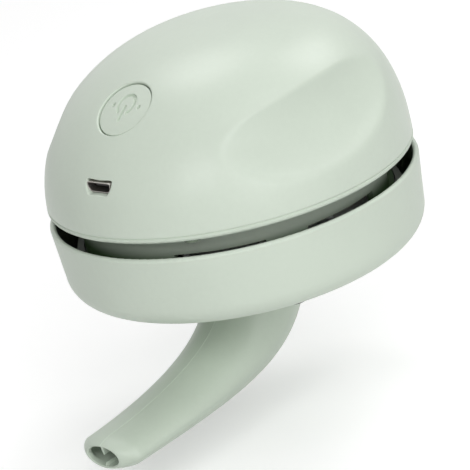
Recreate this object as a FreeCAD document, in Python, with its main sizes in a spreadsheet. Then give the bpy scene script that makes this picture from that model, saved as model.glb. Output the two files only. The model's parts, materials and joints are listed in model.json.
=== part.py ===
"""Desktop mini vacuum cleaner: a domed suction head on a round dust bowl, with a curved nozzle.

Frame: +Z up, front is -Y (power button, charging socket and the nozzle's mouth), the origin is
the centre of the dust bowl's flat underside. Lengths are millimetres, angles degrees.
Every size is a cell of the sheet "Dims"; a Term carries a size's value and its expression, so
that each property is bound to the sheet and follows it.
"""
import FreeCAD, Part
import math
import os
import Sketcher

X_AXIS = FreeCAD.Vector(1, 0, 0)
Y_AXIS = FreeCAD.Vector(0, 1, 0)
Z_AXIS = FreeCAD.Vector(0, 0, 1)

doc = FreeCAD.newDocument("desk_vacuum")
sheet = doc.addObject("Spreadsheet::Sheet", "Dims")


class Term:
    """A number together with the spreadsheet expression that it comes from."""

    def __init__(self, value, text):
        self.value = float(value)
        self.text = text

    def __add__(self, other):
        other = term(other)
        return Term(self.value + other.value, f"({self.text} + {other.text})")

    def __sub__(self, other):
        other = term(other)
        return Term(self.value - other.value, f"({self.text} - {other.text})")

    def __mul__(self, other):
        other = term(other)
        return Term(self.value * other.value, f"({self.text} * {other.text})")

    def __truediv__(self, other):
        other = term(other)
        return Term(self.value / other.value, f"({self.text} / {other.text})")

    def __pow__(self, other):
        other = term(other)
        return Term(self.value ** other.value, f"pow({self.text}; {other.text})")

    def __neg__(self):
        return Term(-self.value, f"(0 - {self.text})")

    def __radd__(self, other):
        return term(other) + self

    def __rsub__(self, other):
        return term(other) - self

    def __rmul__(self, other):
        return term(other) * self

    def __rtruediv__(self, other):
        return term(other) / self


def term(number):
    """Make a plain number a Term; a Term passes through."""
    if isinstance(number, Term):
        return number
    return Term(number, f"({float(number):.9g})")


def cosine(angle):
    """Cosine of an angle in degrees."""
    angle = term(angle)
    return Term(math.cos(math.radians(angle.value)), f"cos({angle.text} * 1deg)")


def sine(angle):
    """Sine of an angle in degrees."""
    angle = term(angle)
    return Term(math.sin(math.radians(angle.value)), f"sin({angle.text} * 1deg)")


def arctangent(ratio):
    """Angle in degrees whose tangent is the ratio."""
    ratio = term(ratio)
    return Term(math.degrees(math.atan(ratio.value)), f"(atan({ratio.text}) / 1deg)")


def arctangent2(rise, run):
    """Angle in degrees of a direction."""
    rise, run = term(rise), term(run)
    return Term(math.degrees(math.atan2(rise.value, run.value)),
                f"(atan2({rise.text}; {run.text}) / 1deg)")


next_row = 1


def size(alias, value):
    """Write one driving dimension to the sheet and return its Term."""
    global next_row
    sheet.set(f"A{next_row}", alias)
    sheet.set(f"B{next_row}", str(value))
    sheet.setAlias(f"B{next_row}", alias)
    next_row += 1
    return Term(value, f"Dims.{alias}")


def follow(alias, value):
    """Write a dimension that follows from others to the sheet as a formula and return its Term."""
    size(alias, value.value)
    sheet.set(f"B{next_row - 1}", "=" + value.text.replace("Dims.", ""))
    return Term(value.value, f"Dims.{alias}")


# ---- dust bowl ---------------------------------------------------------------------------
bowl_radius = size("bowl_radius", 42.5)
bowl_height = size("bowl_height", 17.4)
bowl_draft = size("bowl_draft", 0.9)
bowl_wall = size("bowl_wall", 2.0)
bowl_floor = size("bowl_floor", 1.8)
bowl_rounding = size("bowl_rounding", 5.6)
bowl_groove = size("bowl_groove", 0.3)
lip_rounding = size("lip_rounding", 0.7)
seal_wall = size("seal_wall", 1.45)
seal_wall_top = size("seal_wall_top", 10.8)
seal_gap = size("seal_gap", 0.35)
hub_rim_width = size("hub_rim_width", 1.5)
hub_top = size("hub_top", 3.0)
socket_wall = size("socket_wall", 1.7)
socket_top = size("socket_top", 4.6)
brush_recess = size("brush_recess", 1.4)
brush_band_width = size("brush_band_width", 5.6)
foot_radius = size("foot_radius", 3.5)
foot_inset_width = size("foot_inset_width", 1.9)
foot_height = size("foot_height", 1.2)
foot_seat = size("foot_seat", 0.6)
foot_angle = size("foot_angle", 90.0)

# ---- gap, band and dome ------------------------------------------------------------------
gap_height = size("gap_height", 3.5)
band_height = size("band_height", 1.2)
band_rounding = size("band_rounding", 0.6)
dome_inset_width = size("dome_inset_width", 0.44)
dome_height = size("dome_height", 33.4)
dome_side_power = size("dome_side_power", 2.565)
dome_crown_power = size("dome_crown_power", 2.171)
crown_shift = size("crown_shift", 6.5)
crown_shift_power = size("crown_shift_power", 1.606)
shell_wall = size("shell_wall", 2.0)
parting_groove = size("parting_groove", 0.3)
spigot_play = size("spigot_play", 0.2)

# ---- thumb scoops: one ring-shaped cutter for each side ------------------------------------
scoop_ring_radius = size("scoop_ring_radius", 54.7)
scoop_tube_radius = size("scoop_tube_radius", 17.0)
scoop_inset_width = size("scoop_inset_width", 39.66)
scoop_y = size("scoop_y", -2.2)
scoop_lift_height = size("scoop_lift_height", 17.9)
scoop_lean = size("scoop_lean", 31.0)
scoop_pitch = size("scoop_pitch", 8.7)

# ---- power button and its switch -----------------------------------------------------------
button_drop_height = size("button_drop_height", 8.1)
button_radius = size("button_radius", 6.85)
button_gap = size("button_gap", 0.15)
button_recess = size("button_recess", 0.2)
button_thickness = size("button_thickness", 2.6)
button_flange = size("button_flange", 0.9)
button_travel = size("button_travel", 0.6)
stem_radius = size("stem_radius", 1.5)
switch_depth = size("switch_depth", 9.6)
switch_side = size("switch_side", 6.0)
switch_height = size("switch_height", 3.4)
led_x = size("led_x", 4.3)
led_length = size("led_length", 1.6)
led_height = size("led_height", 0.7)
switch_board_width = size("switch_board_width", 22.0)
switch_board_length = size("switch_board_length", 10.0)
switch_post_x = size("switch_post_x", 8.8)
switch_post_radius = size("switch_post_radius", 1.6)

# ---- charging socket and main board --------------------------------------------------------
socket_height = size("socket_height", 11.5)
usb_width = size("usb_width", 7.4)
usb_narrow = size("usb_narrow", 5.6)
usb_high = size("usb_high", 2.6)
usb_skin = size("usb_skin", 0.3)
usb_depth = size("usb_depth", 5.6)
usb_set_back = size("usb_set_back", 0.35)
usb_gap = size("usb_gap", 0.15)
tongue_width = size("tongue_width", 3.6)
tongue_high = size("tongue_high", 0.6)
tongue_depth = size("tongue_depth", 4.4)
board_thickness = size("board_thickness", 1.2)
board_set_back_depth = size("board_set_back_depth", 2.72)
board_nose_length = size("board_nose_length", 9.6)
board_gap = size("board_gap", 1.8)
board_half_width = size("board_half_width", 14.0)
board_nose_half_width = size("board_nose_half_width", 8.0)
board_post_x = size("board_post_x", 11.0)
board_post_radius = size("board_post_radius", 2.4)
chip_height = size("chip_height", 1.0)

# ---- mid frame and fan housing --------------------------------------------------------------
deck_thickness = size("deck_thickness", 1.6)
neck_inset_width = size("neck_inset_width", 6.8)
neck_wall = size("neck_wall", 1.6)
neck_bottom = size("neck_bottom", 7.0)
window_top = size("window_top", 15.6)
window_bottom = size("window_bottom", 11.4)
window_width = size("window_width", 33.0)
window_pitch = size("window_pitch", 48.5)
window_start = size("window_start", -53.0)
window_count = 6
lug_count = 3
lug_reach = size("lug_reach", 1.5)
lug_height = size("lug_height", 1.4)
lug_bottom = size("lug_bottom", 8.0)
lug_width = size("lug_width", 16.0)
lug_start = size("lug_start", 30.0)
twist_angle = size("twist_angle", 20.0)
lug_clearance = size("lug_clearance", 0.2)
lug_end_play = size("lug_end_play", 0.6)
fan_cover_top = size("fan_cover_top", 10.4)
fan_cover_thickness = size("fan_cover_thickness", 1.2)
cover_step = size("cover_step", 0.4)
eye_radius = size("eye_radius", 13.0)
eye_hub_radius = size("eye_hub_radius", 3.5)
eye_spoke_angle = size("eye_spoke_angle", 7.0)
eye_count = 6
filter_height = size("filter_height", 1.6)
filter_rim = size("filter_rim", 6.0)
mesh_thickness = size("mesh_thickness", 0.6)
mesh_seat = size("mesh_seat", 1.4)
rib_width = size("rib_width", 1.6)
seal_depth = size("seal_depth", 0.5)
seal_height = size("seal_height", 0.8)
seal_bottom = size("seal_bottom", 9.7)

# ---- motor, fan and battery ------------------------------------------------------------------
motor_radius = size("motor_radius", 10.2)
motor_length = size("motor_length", 17.0)
motor_nose_radius = size("motor_nose_radius", 3.1)
motor_edge = size("motor_edge", 1.0)
damper_wall = size("damper_wall", 1.2)
damper_length = size("damper_length", 11.0)
socket_ring_wall = size("socket_ring_wall", 1.4)
socket_ring_height = size("socket_ring_height", 9.0)
end_cap_radius = size("end_cap_radius", 8.4)
end_cap_height = size("end_cap_height", 1.8)
terminal_x = size("terminal_x", 5.6)
terminal_width = size("terminal_width", 2.4)
terminal_thickness = size("terminal_thickness", 0.5)
terminal_length = size("terminal_length", 3.6)
shaft_radius = size("shaft_radius", 1.0)
running_gap = size("running_gap", 0.05)
fan_side_gap = size("fan_side_gap", 3.1)
fan_plate = size("fan_plate", 1.0)
fan_top_gap = size("fan_top_gap", 1.6)
fan_blade_height = size("fan_blade_height", 5.6)
fan_hub_radius = size("fan_hub_radius", 4.2)
fan_eye_radius = size("fan_eye_radius", 12.5)
blade_thickness = size("blade_thickness", 1.1)
blade_sweep = size("blade_sweep", 38.0)
blade_arc_radius = size("blade_arc_radius", 26.0)
blade_count = 11
cell_radius = size("cell_radius", 7.0)
cell_side_gap = size("cell_side_gap", 16.06)
cell_motor_gap = size("cell_motor_gap", 0.6)
cell_lift = size("cell_lift", 2.2)
cell_clearance = size("cell_clearance", 0.1)
cell_edge = size("cell_edge", 0.8)
tab_radius = size("tab_radius", 3.6)
tab_thickness = size("tab_thickness", 0.4)
cradle_x = size("cradle_x", 15.0)
cradle_rib = size("cradle_rib", 2.0)

# ---- screws -----------------------------------------------------------------------------------
post_inset_width = size("post_inset_width", 2.06)
post_angle = size("post_angle", 60.0)
post_radius = size("post_radius", 3.0)
post_height = size("post_height", 11.0)
screw_radius = size("screw_radius", 1.05)
screw_head_radius = size("screw_head_radius", 1.9)
screw_head_height = size("screw_head_height", 1.2)
screw_length = size("screw_length", 8.0)
screw_play = size("screw_play", 0.05)
board_screw_radius = size("board_screw_radius", 0.85)
board_screw_length = size("board_screw_length", 5.0)

# ---- nozzle ------------------------------------------------------------------------------------
spigot_shoulder_width = size("spigot_shoulder_width", 2.4)
spigot_end_gap = size("spigot_end_gap", 0.1)
nozzle_wall = size("nozzle_wall", 1.3)
nozzle_root_radius = size("nozzle_root_radius", 12.4)
nozzle_reach = size("nozzle_reach", 52.8)
nozzle_drop = size("nozzle_drop", 24.05)
nozzle_tip_angle = size("nozzle_tip_angle", 89.0)
nozzle_root_pull = size("nozzle_root_pull", 15.8)
nozzle_tip_pull = size("nozzle_tip_pull", 44.7)
nozzle_tip_half_width = size("nozzle_tip_half_width", 8.85)
nozzle_tip_half_height = size("nozzle_tip_half_height", 3.65)
nozzle_waist = size("nozzle_waist", 0.4)
nozzle_height_swell = size("nozzle_height_swell", 2.0)
nozzle_nose = size("nozzle_nose", 3.3)
mouth_half_width = size("mouth_half_width", 4.7)
mouth_half_height = size("mouth_half_height", 2.35)
mouth_lip = size("mouth_lip", 0.9)

# ---- brush ---------------------------------------------------------------------------------------
brush_carrier_height = size("brush_carrier_height", 0.8)
brush_gap = size("brush_gap", 0.4)
tuft_radius = size("tuft_radius", 0.55)
tuft_length = size("tuft_length", 1.4)
tuft_count = 20

# ---- heights and radii that follow from the sizes above ----------------------------------------------
deck_bottom = follow("deck_bottom", bowl_height + gap_height)
deck_top = follow("deck_top", deck_bottom + deck_thickness)
shell_bottom = follow("shell_bottom", deck_bottom + band_height)
dome_radius = follow("dome_radius", bowl_radius - dome_inset_width)
scoop_x = follow("scoop_x", dome_radius - scoop_inset_width)
scoop_z = follow("scoop_z", dome_height + scoop_lift_height)
button_height = follow("button_height", dome_height - button_drop_height)
neck_radius = follow("neck_radius", bowl_radius - neck_inset_width)
neck_inner = follow("neck_inner", neck_radius - neck_wall)
seal_wall_inner = follow("seal_wall_inner", neck_radius + seal_gap)
cover_bottom = follow("cover_bottom", fan_cover_top - fan_cover_thickness)
foot_circle = follow("foot_circle", neck_radius - foot_inset_width)
brush_recess_radius = follow("brush_recess_radius", nozzle_root_radius + brush_band_width)
tuft_circle = follow("tuft_circle", nozzle_root_radius + brush_band_width / 2)
hub_radius = follow("hub_radius", brush_recess_radius + hub_rim_width)
spigot_radius = follow("spigot_radius", nozzle_root_radius - spigot_shoulder_width)
post_circle = follow("post_circle", dome_radius - shell_wall - post_inset_width)
motor_top = follow("motor_top", deck_top + motor_length)
motor_ring_radius = follow("motor_ring_radius", motor_radius + damper_wall + socket_ring_wall)
fan_top = follow("fan_top", deck_bottom - fan_top_gap)
fan_radius = follow("fan_radius", neck_inner - fan_side_gap)
cell_y = follow("cell_y", motor_ring_radius + cell_motor_gap + cell_radius)
cell_length = follow("cell_length", (dome_radius - shell_wall - cell_side_gap) * 2)
board_top = follow("board_top", deck_bottom + socket_height - usb_high / 2)
board_bottom = follow("board_bottom", board_top - board_thickness)


# ---- helpers ---------------------------------------------------------------------------------------
def bind(obj, prop, value):
    """Set a length property from a Term through its expression."""
    obj.setExpression(prop, term(value).text)


def bind_angle(obj, prop, value):
    """Set an angle property from a Term in degrees."""
    obj.setExpression(prop, f"{term(value).text} * 1deg")


def move(obj, x=0, y=0, z=0, pitch=0, roll=0):
    """Bind an object's placement: turned about X by roll, then about Y by pitch, then moved."""
    x, y, z, pitch, roll = (term(value).text for value in (x, y, z, pitch, roll))
    spot = f"create(<<vector>>; {x}; {y}; {z})"
    turned = f"create(<<rotation>>; 0; {pitch}; {roll})"
    obj.setExpression("Placement", f"create(<<placement>>; {spot}; {turned})")
    return obj


def cylinder(name, radius, height, x=0, y=0, z=0):
    """Upright cylinder whose foot is at x, y, z."""
    obj = doc.addObject("Part::Cylinder", name)
    bind(obj, "Radius", radius)
    bind(obj, "Height", height)
    return move(obj, x, y, z)


def block(name, x_span, y_span, z_span):
    """Box between two limits on each axis."""
    obj = doc.addObject("Part::Box", name)
    for prop, span in zip(("Length", "Width", "Height"), (x_span, y_span, z_span)):
        bind(obj, prop, term(span[1]) - span[0])
    return move(obj, x_span[0], y_span[0], z_span[0])


def cut(name, base, *tools):
    """Base less every tool."""
    for number, tool in enumerate(tools, 1):
        last = number == len(tools)
        result = doc.addObject("Part::Cut", name if last else f"{name}_step")
        result.Base = base
        result.Tool = tool
        base = result
    return result


def join(name, *pieces):
    """Union of touching pieces."""
    result = doc.addObject("Part::MultiFuse", name)
    result.Shapes = list(pieces)
    result.Refine = True
    return result


def overlap_of(name, first, second):
    """The volume that two shapes share."""
    result = doc.addObject("Part::MultiCommon", name)
    result.Shapes = [first, second]
    return result


def group(name, pieces):
    """Separate solids kept together as one node."""
    result = doc.addObject("Part::Compound", name)
    result.Links = list(pieces)
    return result


def loft(name, sections, ruled=False):
    """Solid through a row of closed sections."""
    result = doc.addObject("Part::Loft", name)
    result.Sections = sections
    result.Solid = True
    result.Ruled = ruled
    return result


def on_circle(radius, angle):
    """X and Y of a point at a radius and an angle in degrees."""
    return radius * cosine(angle), radius * sine(angle)


def new_body(name):
    """PartDesign body that may hold several solids."""
    body = doc.addObject("PartDesign::Body", name)
    body.AllowCompound = True
    return body


def plane_of(body, role):
    """One of a body's own origin planes or axes."""
    for feature in body.Origin.OriginFeatures:
        if feature.Role == role:
            return feature
    raise LookupError(role)


def new_sketch(body, role, offset=0):
    """Sketch on an origin plane of the body, lifted along the plane's normal."""
    sketch = body.newObject("Sketcher::SketchObject", f"{body.Name}_sketch")
    sketch.AttachmentSupport = [(plane_of(body, role), "")]
    sketch.MapMode = "FlatFace"
    bind(sketch, "AttachmentOffset.Base.z", offset)
    return sketch


def arc_between(start, end, radius, side):
    """Minor arc from start to end; side +1 keeps the centre on the left of the way there."""
    middle = (start + end) * 0.5
    chord = end - start
    reach = math.sqrt(max(radius ** 2 - (chord.Length / 2) ** 2, 0.0))
    left = FreeCAD.Vector(-chord.y, chord.x, 0).normalize()
    centre = middle + left * (reach * side)
    first, last = (start, end) if side > 0 else (end, start)
    angles = [math.atan2(p.y - centre.y, p.x - centre.x) for p in (first, last)]
    if angles[1] < angles[0]:
        angles[1] += 2 * math.pi
    return Part.ArcOfCircle(Part.Circle(centre, Z_AXIS, radius), angles[0], angles[1])


def outline(sketch, corners):
    """Closed outline through corners (x, y), or (x, y, radius, side) where an arc leads onward."""
    points = [FreeCAD.Vector(term(c[0]).value, term(c[1]).value, 0) for c in corners]
    ends = []
    for i, corner in enumerate(corners):
        start, end = points[i], points[(i + 1) % len(points)]
        if len(corner) == 4:
            radius, side = term(corner[2]), corner[3]
            index = sketch.addGeometry(arc_between(start, end, radius.value, side), False)
            bound = sketch.addConstraint(Sketcher.Constraint("Radius", index, radius.value))
            bind(sketch, f"Constraints[{bound}]", radius)
            ends.append((index, 1, 2) if side > 0 else (index, 2, 1))
        else:
            index = sketch.addGeometry(Part.LineSegment(start, end), False)
            ends.append((index, 1, 2))
    for i, corner in enumerate(corners):
        before = ends[i - 1]
        here = ends[i]
        sketch.addConstraint(Sketcher.Constraint("Coincident", before[0], before[2], here[0], here[1]))
        for kind, value in (("DistanceX", corner[0]), ("DistanceY", corner[1])):
            value = term(value)
            bound = sketch.addConstraint(
                Sketcher.Constraint(kind, -1, 1, here[0], here[1], value.value))
            bind(sketch, f"Constraints[{bound}]", value)
    return sketch


def ring_sector(sketch, inner, outer, middle, width):
    """Part of a ring: between two radii, width degrees wide about a middle angle."""
    low = term(middle) - term(width) / 2
    high = term(middle) + term(width) / 2
    return outline(sketch, [
        (*on_circle(inner, low),),
        (*on_circle(outer, low), outer, 1),
        (*on_circle(outer, high),),
        (*on_circle(inner, high), inner, -1),
    ])


def rim_circle(sketch, radius, x=0, y=0):
    """Full circle in a sketch."""
    radius, x, y = term(radius), term(x), term(y)
    index = sketch.addGeometry(
        Part.Circle(FreeCAD.Vector(x.value, y.value, 0), Z_AXIS, radius.value), False)
    bound = sketch.addConstraint(Sketcher.Constraint("Radius", index, radius.value))
    bind(sketch, f"Constraints[{bound}]", radius)
    for kind, value in (("DistanceX", x), ("DistanceY", y)):
        bound = sketch.addConstraint(Sketcher.Constraint(kind, -1, 1, index, 3, value.value))
        bind(sketch, f"Constraints[{bound}]", value)
    return sketch


def revolve(body, corners):
    """Full turn of a half section (radius, height) about the Z axis."""
    sketch = outline(new_sketch(body, "XZ_Plane"), corners)
    feature = body.newObject("PartDesign::Revolution", f"{body.Name}_turned")
    feature.Profile = sketch
    feature.ReferenceAxis = (sketch, ["V_Axis"])
    feature.Angle = 360
    return feature


def pad(body, sketch, length):
    """Add material above a sketch."""
    feature = body.newObject("PartDesign::Pad", f"{body.Name}_pad")
    feature.Profile = sketch
    bind(feature, "Length", length)
    return feature


def pocket(body, sketch, depth):
    """Take material away below a sketch."""
    feature = body.newObject("PartDesign::Pocket", f"{body.Name}_pocket")
    feature.Profile = sketch
    bind(feature, "Length", depth)
    return feature


def repeat(body, feature, count, pitch=None):
    """Repeat a feature about Z: evenly over a full turn, or at a pitch in degrees."""
    pattern = body.newObject("PartDesign::PolarPattern", f"{body.Name}_repeat")
    pattern.Originals = [feature]
    pattern.Axis = (plane_of(body, "Z_Axis"), [""])
    pattern.Occurrences = count
    if pitch is None:
        pattern.Angle = 360
    else:
        bind_angle(pattern, "Angle", pitch * (count - 1))
    body.Tip = pattern
    return pattern


# ---- the dome's form ----------------------------------------------------------------------------------
DOME_SECTIONS = 11


def dome_section(height, inset):
    """Radius and rearward shift of the dome's level section at a height above its lower edge."""
    rise = height / (dome_height - inset)
    radius = (dome_radius - inset) * (1 - rise ** dome_crown_power) ** (1 / dome_side_power)
    shift = crown_shift * rise ** crown_shift_power
    return radius, shift


def dome_solid(name, inset):
    """Dome, drawn in by inset: level circles that shrink and shift rearwards up to a point."""
    top = dome_height - inset
    sections = []
    for step in range(DOME_SECTIONS):
        height = top * sine(90 * step / DOME_SECTIONS)
        radius, shift = dome_section(height, inset) if step else (dome_radius - inset, term(0))
        circle = doc.addObject("Part::Circle", f"{name}_level")
        bind(circle, "Radius", radius)
        sections.append(move(circle, 0, shift, deck_bottom + height))
    tip = doc.addObject("Part::Vertex", f"{name}_tip")
    bind(tip, "X", 0)
    bind(tip, "Y", crown_shift)
    bind(tip, "Z", deck_bottom + top)
    return loft(name, sections + [tip])


def scoop_cutter(name, side, growth):
    """Ring-shaped cutter of one thumb scoop; growth thickens the tube for the inside face."""
    ring = doc.addObject("Part::Torus", name)
    bind(ring, "Radius1", scoop_ring_radius)
    bind(ring, "Radius2", scoop_tube_radius + growth)
    return move(ring, side * scoop_x, scoop_y, deck_bottom + scoop_z, side * scoop_lean, scoop_pitch)


def front_of_dome(height):
    """How far in front of the Z axis the dome's face is, at a height above its lower edge."""
    radius, shift = dome_section(height, 0)
    return radius - shift


def front_tilt(height):
    """Angle between the vertical and the normal of the dome's face, on its front middle line."""
    rise = height / dome_height
    fall = (1 - rise ** dome_crown_power) ** (1 / dome_side_power - 1)
    narrowing = dome_radius / dome_side_power * dome_crown_power * rise ** (dome_crown_power - 1) * fall
    shifting = crown_shift * crown_shift_power * rise ** (crown_shift_power - 1)
    return arctangent(dome_height / (narrowing + shifting))


button_tilt = follow("button_tilt", front_tilt(button_height))
button_y = follow("button_y", -front_of_dome(button_height))
button_z = follow("button_z", deck_bottom + button_height)
usb_front = follow("usb_front", front_of_dome(socket_height) - usb_set_back)
usb_z = follow("usb_z", deck_bottom + socket_height)
board_front = follow("board_front", usb_front - board_set_back_depth)
board_step = follow("board_step", board_front - board_nose_length)
board_back = follow("board_back", motor_ring_radius + board_gap)
board_post_y = follow("board_post_y", (board_step + board_back) / 2)


def along_button(name, radius, near, far, x=0):
    """Cylinder on the button's axis between two depths below the dome's face."""
    obj = doc.addObject("Part::Cylinder", name)
    bind(obj, "Radius", radius)
    bind(obj, "Height", term(far) - near)
    return move(obj, x, button_y + sine(button_tilt) * near, button_z - cosine(button_tilt) * near,
                0, button_tilt + 180)


def button_block(name, half_x, half_v, near, far, x=0):
    """Block square to the button's axis between two depths below the dome's face."""
    obj = doc.addObject("Part::Box", name)
    bind(obj, "Length", 2 * half_x)
    bind(obj, "Width", 2 * half_v)
    bind(obj, "Height", term(far) - near)
    depth_y = button_y + sine(button_tilt) * far
    depth_z = button_z - cosine(button_tilt) * far
    return move(obj, x - half_x, depth_y - cosine(button_tilt) * half_v,
                depth_z - sine(button_tilt) * half_v, 0, button_tilt)


def usb_outline(sketch, grow):
    """Socket section: wide side up, with the two lower corners cut off."""
    wide = usb_width / 2 + grow
    narrow = usb_narrow / 2 + grow * 0.6
    high = usb_high / 2 + grow
    shoulder = usb_high * 0.1
    return outline(sketch, [
        (-narrow, usb_z - high), (narrow, usb_z - high), (wide, usb_z - shoulder),
        (wide, usb_z + high), (-wide, usb_z + high), (-wide, usb_z - shoulder),
    ])


# ---- sub-parts: the head -----------------------------------------------------------------------------------
def make_top_shell():
    """Dome with two thumb scoops, button well, socket mouth, switch posts and screw posts."""
    outside = dome_solid("dome_outside", 0)
    inside = dome_solid("dome_inside", shell_wall)
    inner_form = cut("shell_core", inside, scoop_cutter("core_scoop_right", 1, shell_wall),
                     scoop_cutter("core_scoop_left", -1, shell_wall))
    scooped = cut("shell_scooped", outside, scoop_cutter("scoop_right", 1, 0),
                  scoop_cutter("scoop_left", -1, 0))
    hollow = cut("shell_hollow", scooped, inner_form)
    posts = []
    holes = []
    for quarter in (post_angle, -post_angle, 180 - post_angle, 180 + post_angle):
        x, y = on_circle(post_circle, quarter)
        posts.append(cylinder("shell_post", post_radius, post_height, x, y, deck_top))
        holes.append(cylinder("shell_post_hole", screw_radius + screw_play, screw_length + 0.6,
                              x, y, deck_bottom))
    for side in (-1, 1):
        posts.append(along_button("switch_post", switch_post_radius, shell_wall / 2,
                                  switch_depth, side * switch_post_x))
    ribs = overlap_of("shell_posts", scooped, join("shell_post_set", *posts))
    walled = join("shell_walled", hollow, ribs)
    below = cylinder("shell_below", bowl_radius * 2, shell_bottom)
    well = along_button("button_well", button_radius + button_gap, -5, button_thickness + 2)
    flange_room = along_button("flange_well", button_radius + button_flange + button_gap,
                               shell_wall + 0.3, button_thickness + button_travel + 2)
    mouth_body = new_body("usb_mouth")
    mouth = usb_outline(new_sketch(mouth_body, "XZ_Plane", usb_front - usb_depth), usb_gap)
    pad(mouth_body, mouth, usb_depth * 2)
    return cut("top_shell", walled, below, *holes, well, flange_room, mouth_body)


def make_mid_frame():
    """Deck with the visible band, the fan housing's neck, motor ring, board posts and cell cradle."""
    body = new_body("frame_turned")
    step = neck_inner + cover_step
    groove = neck_radius - seal_depth
    revolve(body, [
        (motor_nose_radius + 0.1, deck_bottom),
        (neck_inner, deck_bottom),
        (neck_inner, fan_cover_top),
        (step, fan_cover_top),
        (step, neck_bottom),
        (neck_radius, neck_bottom),
        (neck_radius, seal_bottom),
        (groove, seal_bottom),
        (groove, seal_bottom + seal_height),
        (neck_radius, seal_bottom + seal_height),
        (neck_radius, deck_bottom),
        (dome_radius - band_rounding, deck_bottom, band_rounding, 1),
        (dome_radius, deck_bottom + band_rounding),
        (dome_radius, shell_bottom - parting_groove),
        (dome_radius - parting_groove, shell_bottom),
        (dome_radius - shell_wall - spigot_play, shell_bottom),
        (dome_radius - shell_wall - spigot_play, deck_top),
        (motor_nose_radius + 0.1, deck_top),
    ])
    window = new_sketch(body, "XY_Plane", window_top)
    ring_sector(window, neck_inner - 1, neck_radius + 1, window_start, window_width)
    repeat(body, pocket(body, window, window_top - window_bottom), window_count, window_pitch)
    lug = new_sketch(body, "XY_Plane", lug_bottom)
    ring_sector(lug, neck_radius - 0.3, neck_radius + lug_reach, lug_start, lug_width)
    repeat(body, pad(body, lug, lug_height), lug_count)

    motor_hole = motor_radius + damper_wall
    ring = cut("motor_ring",
               cylinder("motor_ring_outer", motor_ring_radius, socket_ring_height, 0, 0, deck_top),
               cylinder("motor_ring_inner", motor_hole, socket_ring_height, 0, 0, deck_top))
    cell_z = deck_top + cell_lift + cell_radius
    ribs = []
    for side in (-1, 1):
        ribs.append(block("cradle_rib", (side * cradle_x - cradle_rib / 2, side * cradle_x + cradle_rib / 2),
                          (cell_y - cell_radius, cell_y + cell_radius), (deck_top, cell_z)))
    bed = doc.addObject("Part::Cylinder", "cradle_bed")
    bind(bed, "Radius", cell_radius + cell_clearance)
    bind(bed, "Height", cell_length)
    move(bed, -cell_length / 2, cell_y, cell_z, 90)
    cradle = cut("cradle", join("cradle_ribs", *ribs), bed)
    posts = []
    for side in (-1, 1):
        post = cylinder("board_post", board_post_radius, board_bottom - deck_top,
                        side * board_post_x, -board_post_y, deck_top)
        hole = cylinder("board_post_hole", board_screw_radius + screw_play, board_screw_length,
                        side * board_post_x, -board_post_y, board_top - board_screw_length)
        posts.append(cut("board_post_bored", post, hole))
    holes = []
    for quarter in (post_angle, -post_angle, 180 - post_angle, 180 + post_angle):
        x, y = on_circle(post_circle, quarter)
        holes.append(cylinder("deck_hole", screw_radius + 0.2, deck_thickness * 3, x, y,
                              deck_bottom - deck_thickness))
    whole = join("frame_whole", body, ring, cradle, *posts)
    return cut("mid_frame", whole, *holes)


def make_fan_cover():
    """Plate under the fan with a spoked intake eye."""
    body = new_body("fan_cover")
    outer = neck_inner + cover_step - 0.1
    revolve(body, [(0, cover_bottom), (outer, cover_bottom), (outer, fan_cover_top),
                   (0, fan_cover_top)])
    eye = new_sketch(body, "XY_Plane", fan_cover_top)
    bay_angle = 360 / eye_count - eye_spoke_angle
    ring_sector(eye, eye_hub_radius, eye_radius, 0, bay_angle)
    repeat(body, pocket(body, eye, fan_cover_thickness * 2), eye_count)
    return body


def make_filter():
    """Filter frame with cross ribs, and the mesh disc that lies in it."""
    outer = neck_inner + cover_step - 0.2
    inner = outer - filter_rim
    bottom = cover_bottom - filter_height
    ledge = bottom + filter_height - mesh_thickness
    frame_body = new_body("filter_ring")
    revolve(frame_body, [
        (inner, bottom), (outer, bottom), (outer, cover_bottom), (inner + mesh_seat, cover_bottom),
        (inner + mesh_seat, ledge), (inner, ledge),
    ])
    long_rib = block("filter_rib_x", (-inner - 0.5, inner + 0.5), (-rib_width / 2, rib_width / 2),
                     (bottom, ledge))
    cross_rib = block("filter_rib_y", (-rib_width / 2, rib_width / 2), (-inner - 0.5, inner + 0.5),
                      (bottom, ledge))
    join("filter_frame", frame_body, long_rib, cross_rib)
    cylinder("filter_mesh", inner + mesh_seat - 0.1, mesh_thickness, 0, 0, ledge)


def make_seal_ring():
    """Rubber ring in the neck's groove."""
    body = new_body("seal_ring")
    inner = neck_radius - seal_depth
    outer = seal_wall_inner - running_gap
    revolve(body, [(inner, seal_bottom), (outer - 0.2, seal_bottom),
                   (outer, seal_bottom + seal_height / 2), (outer - 0.2, seal_bottom + seal_height),
                   (inner, seal_bottom + seal_height)])


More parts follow.
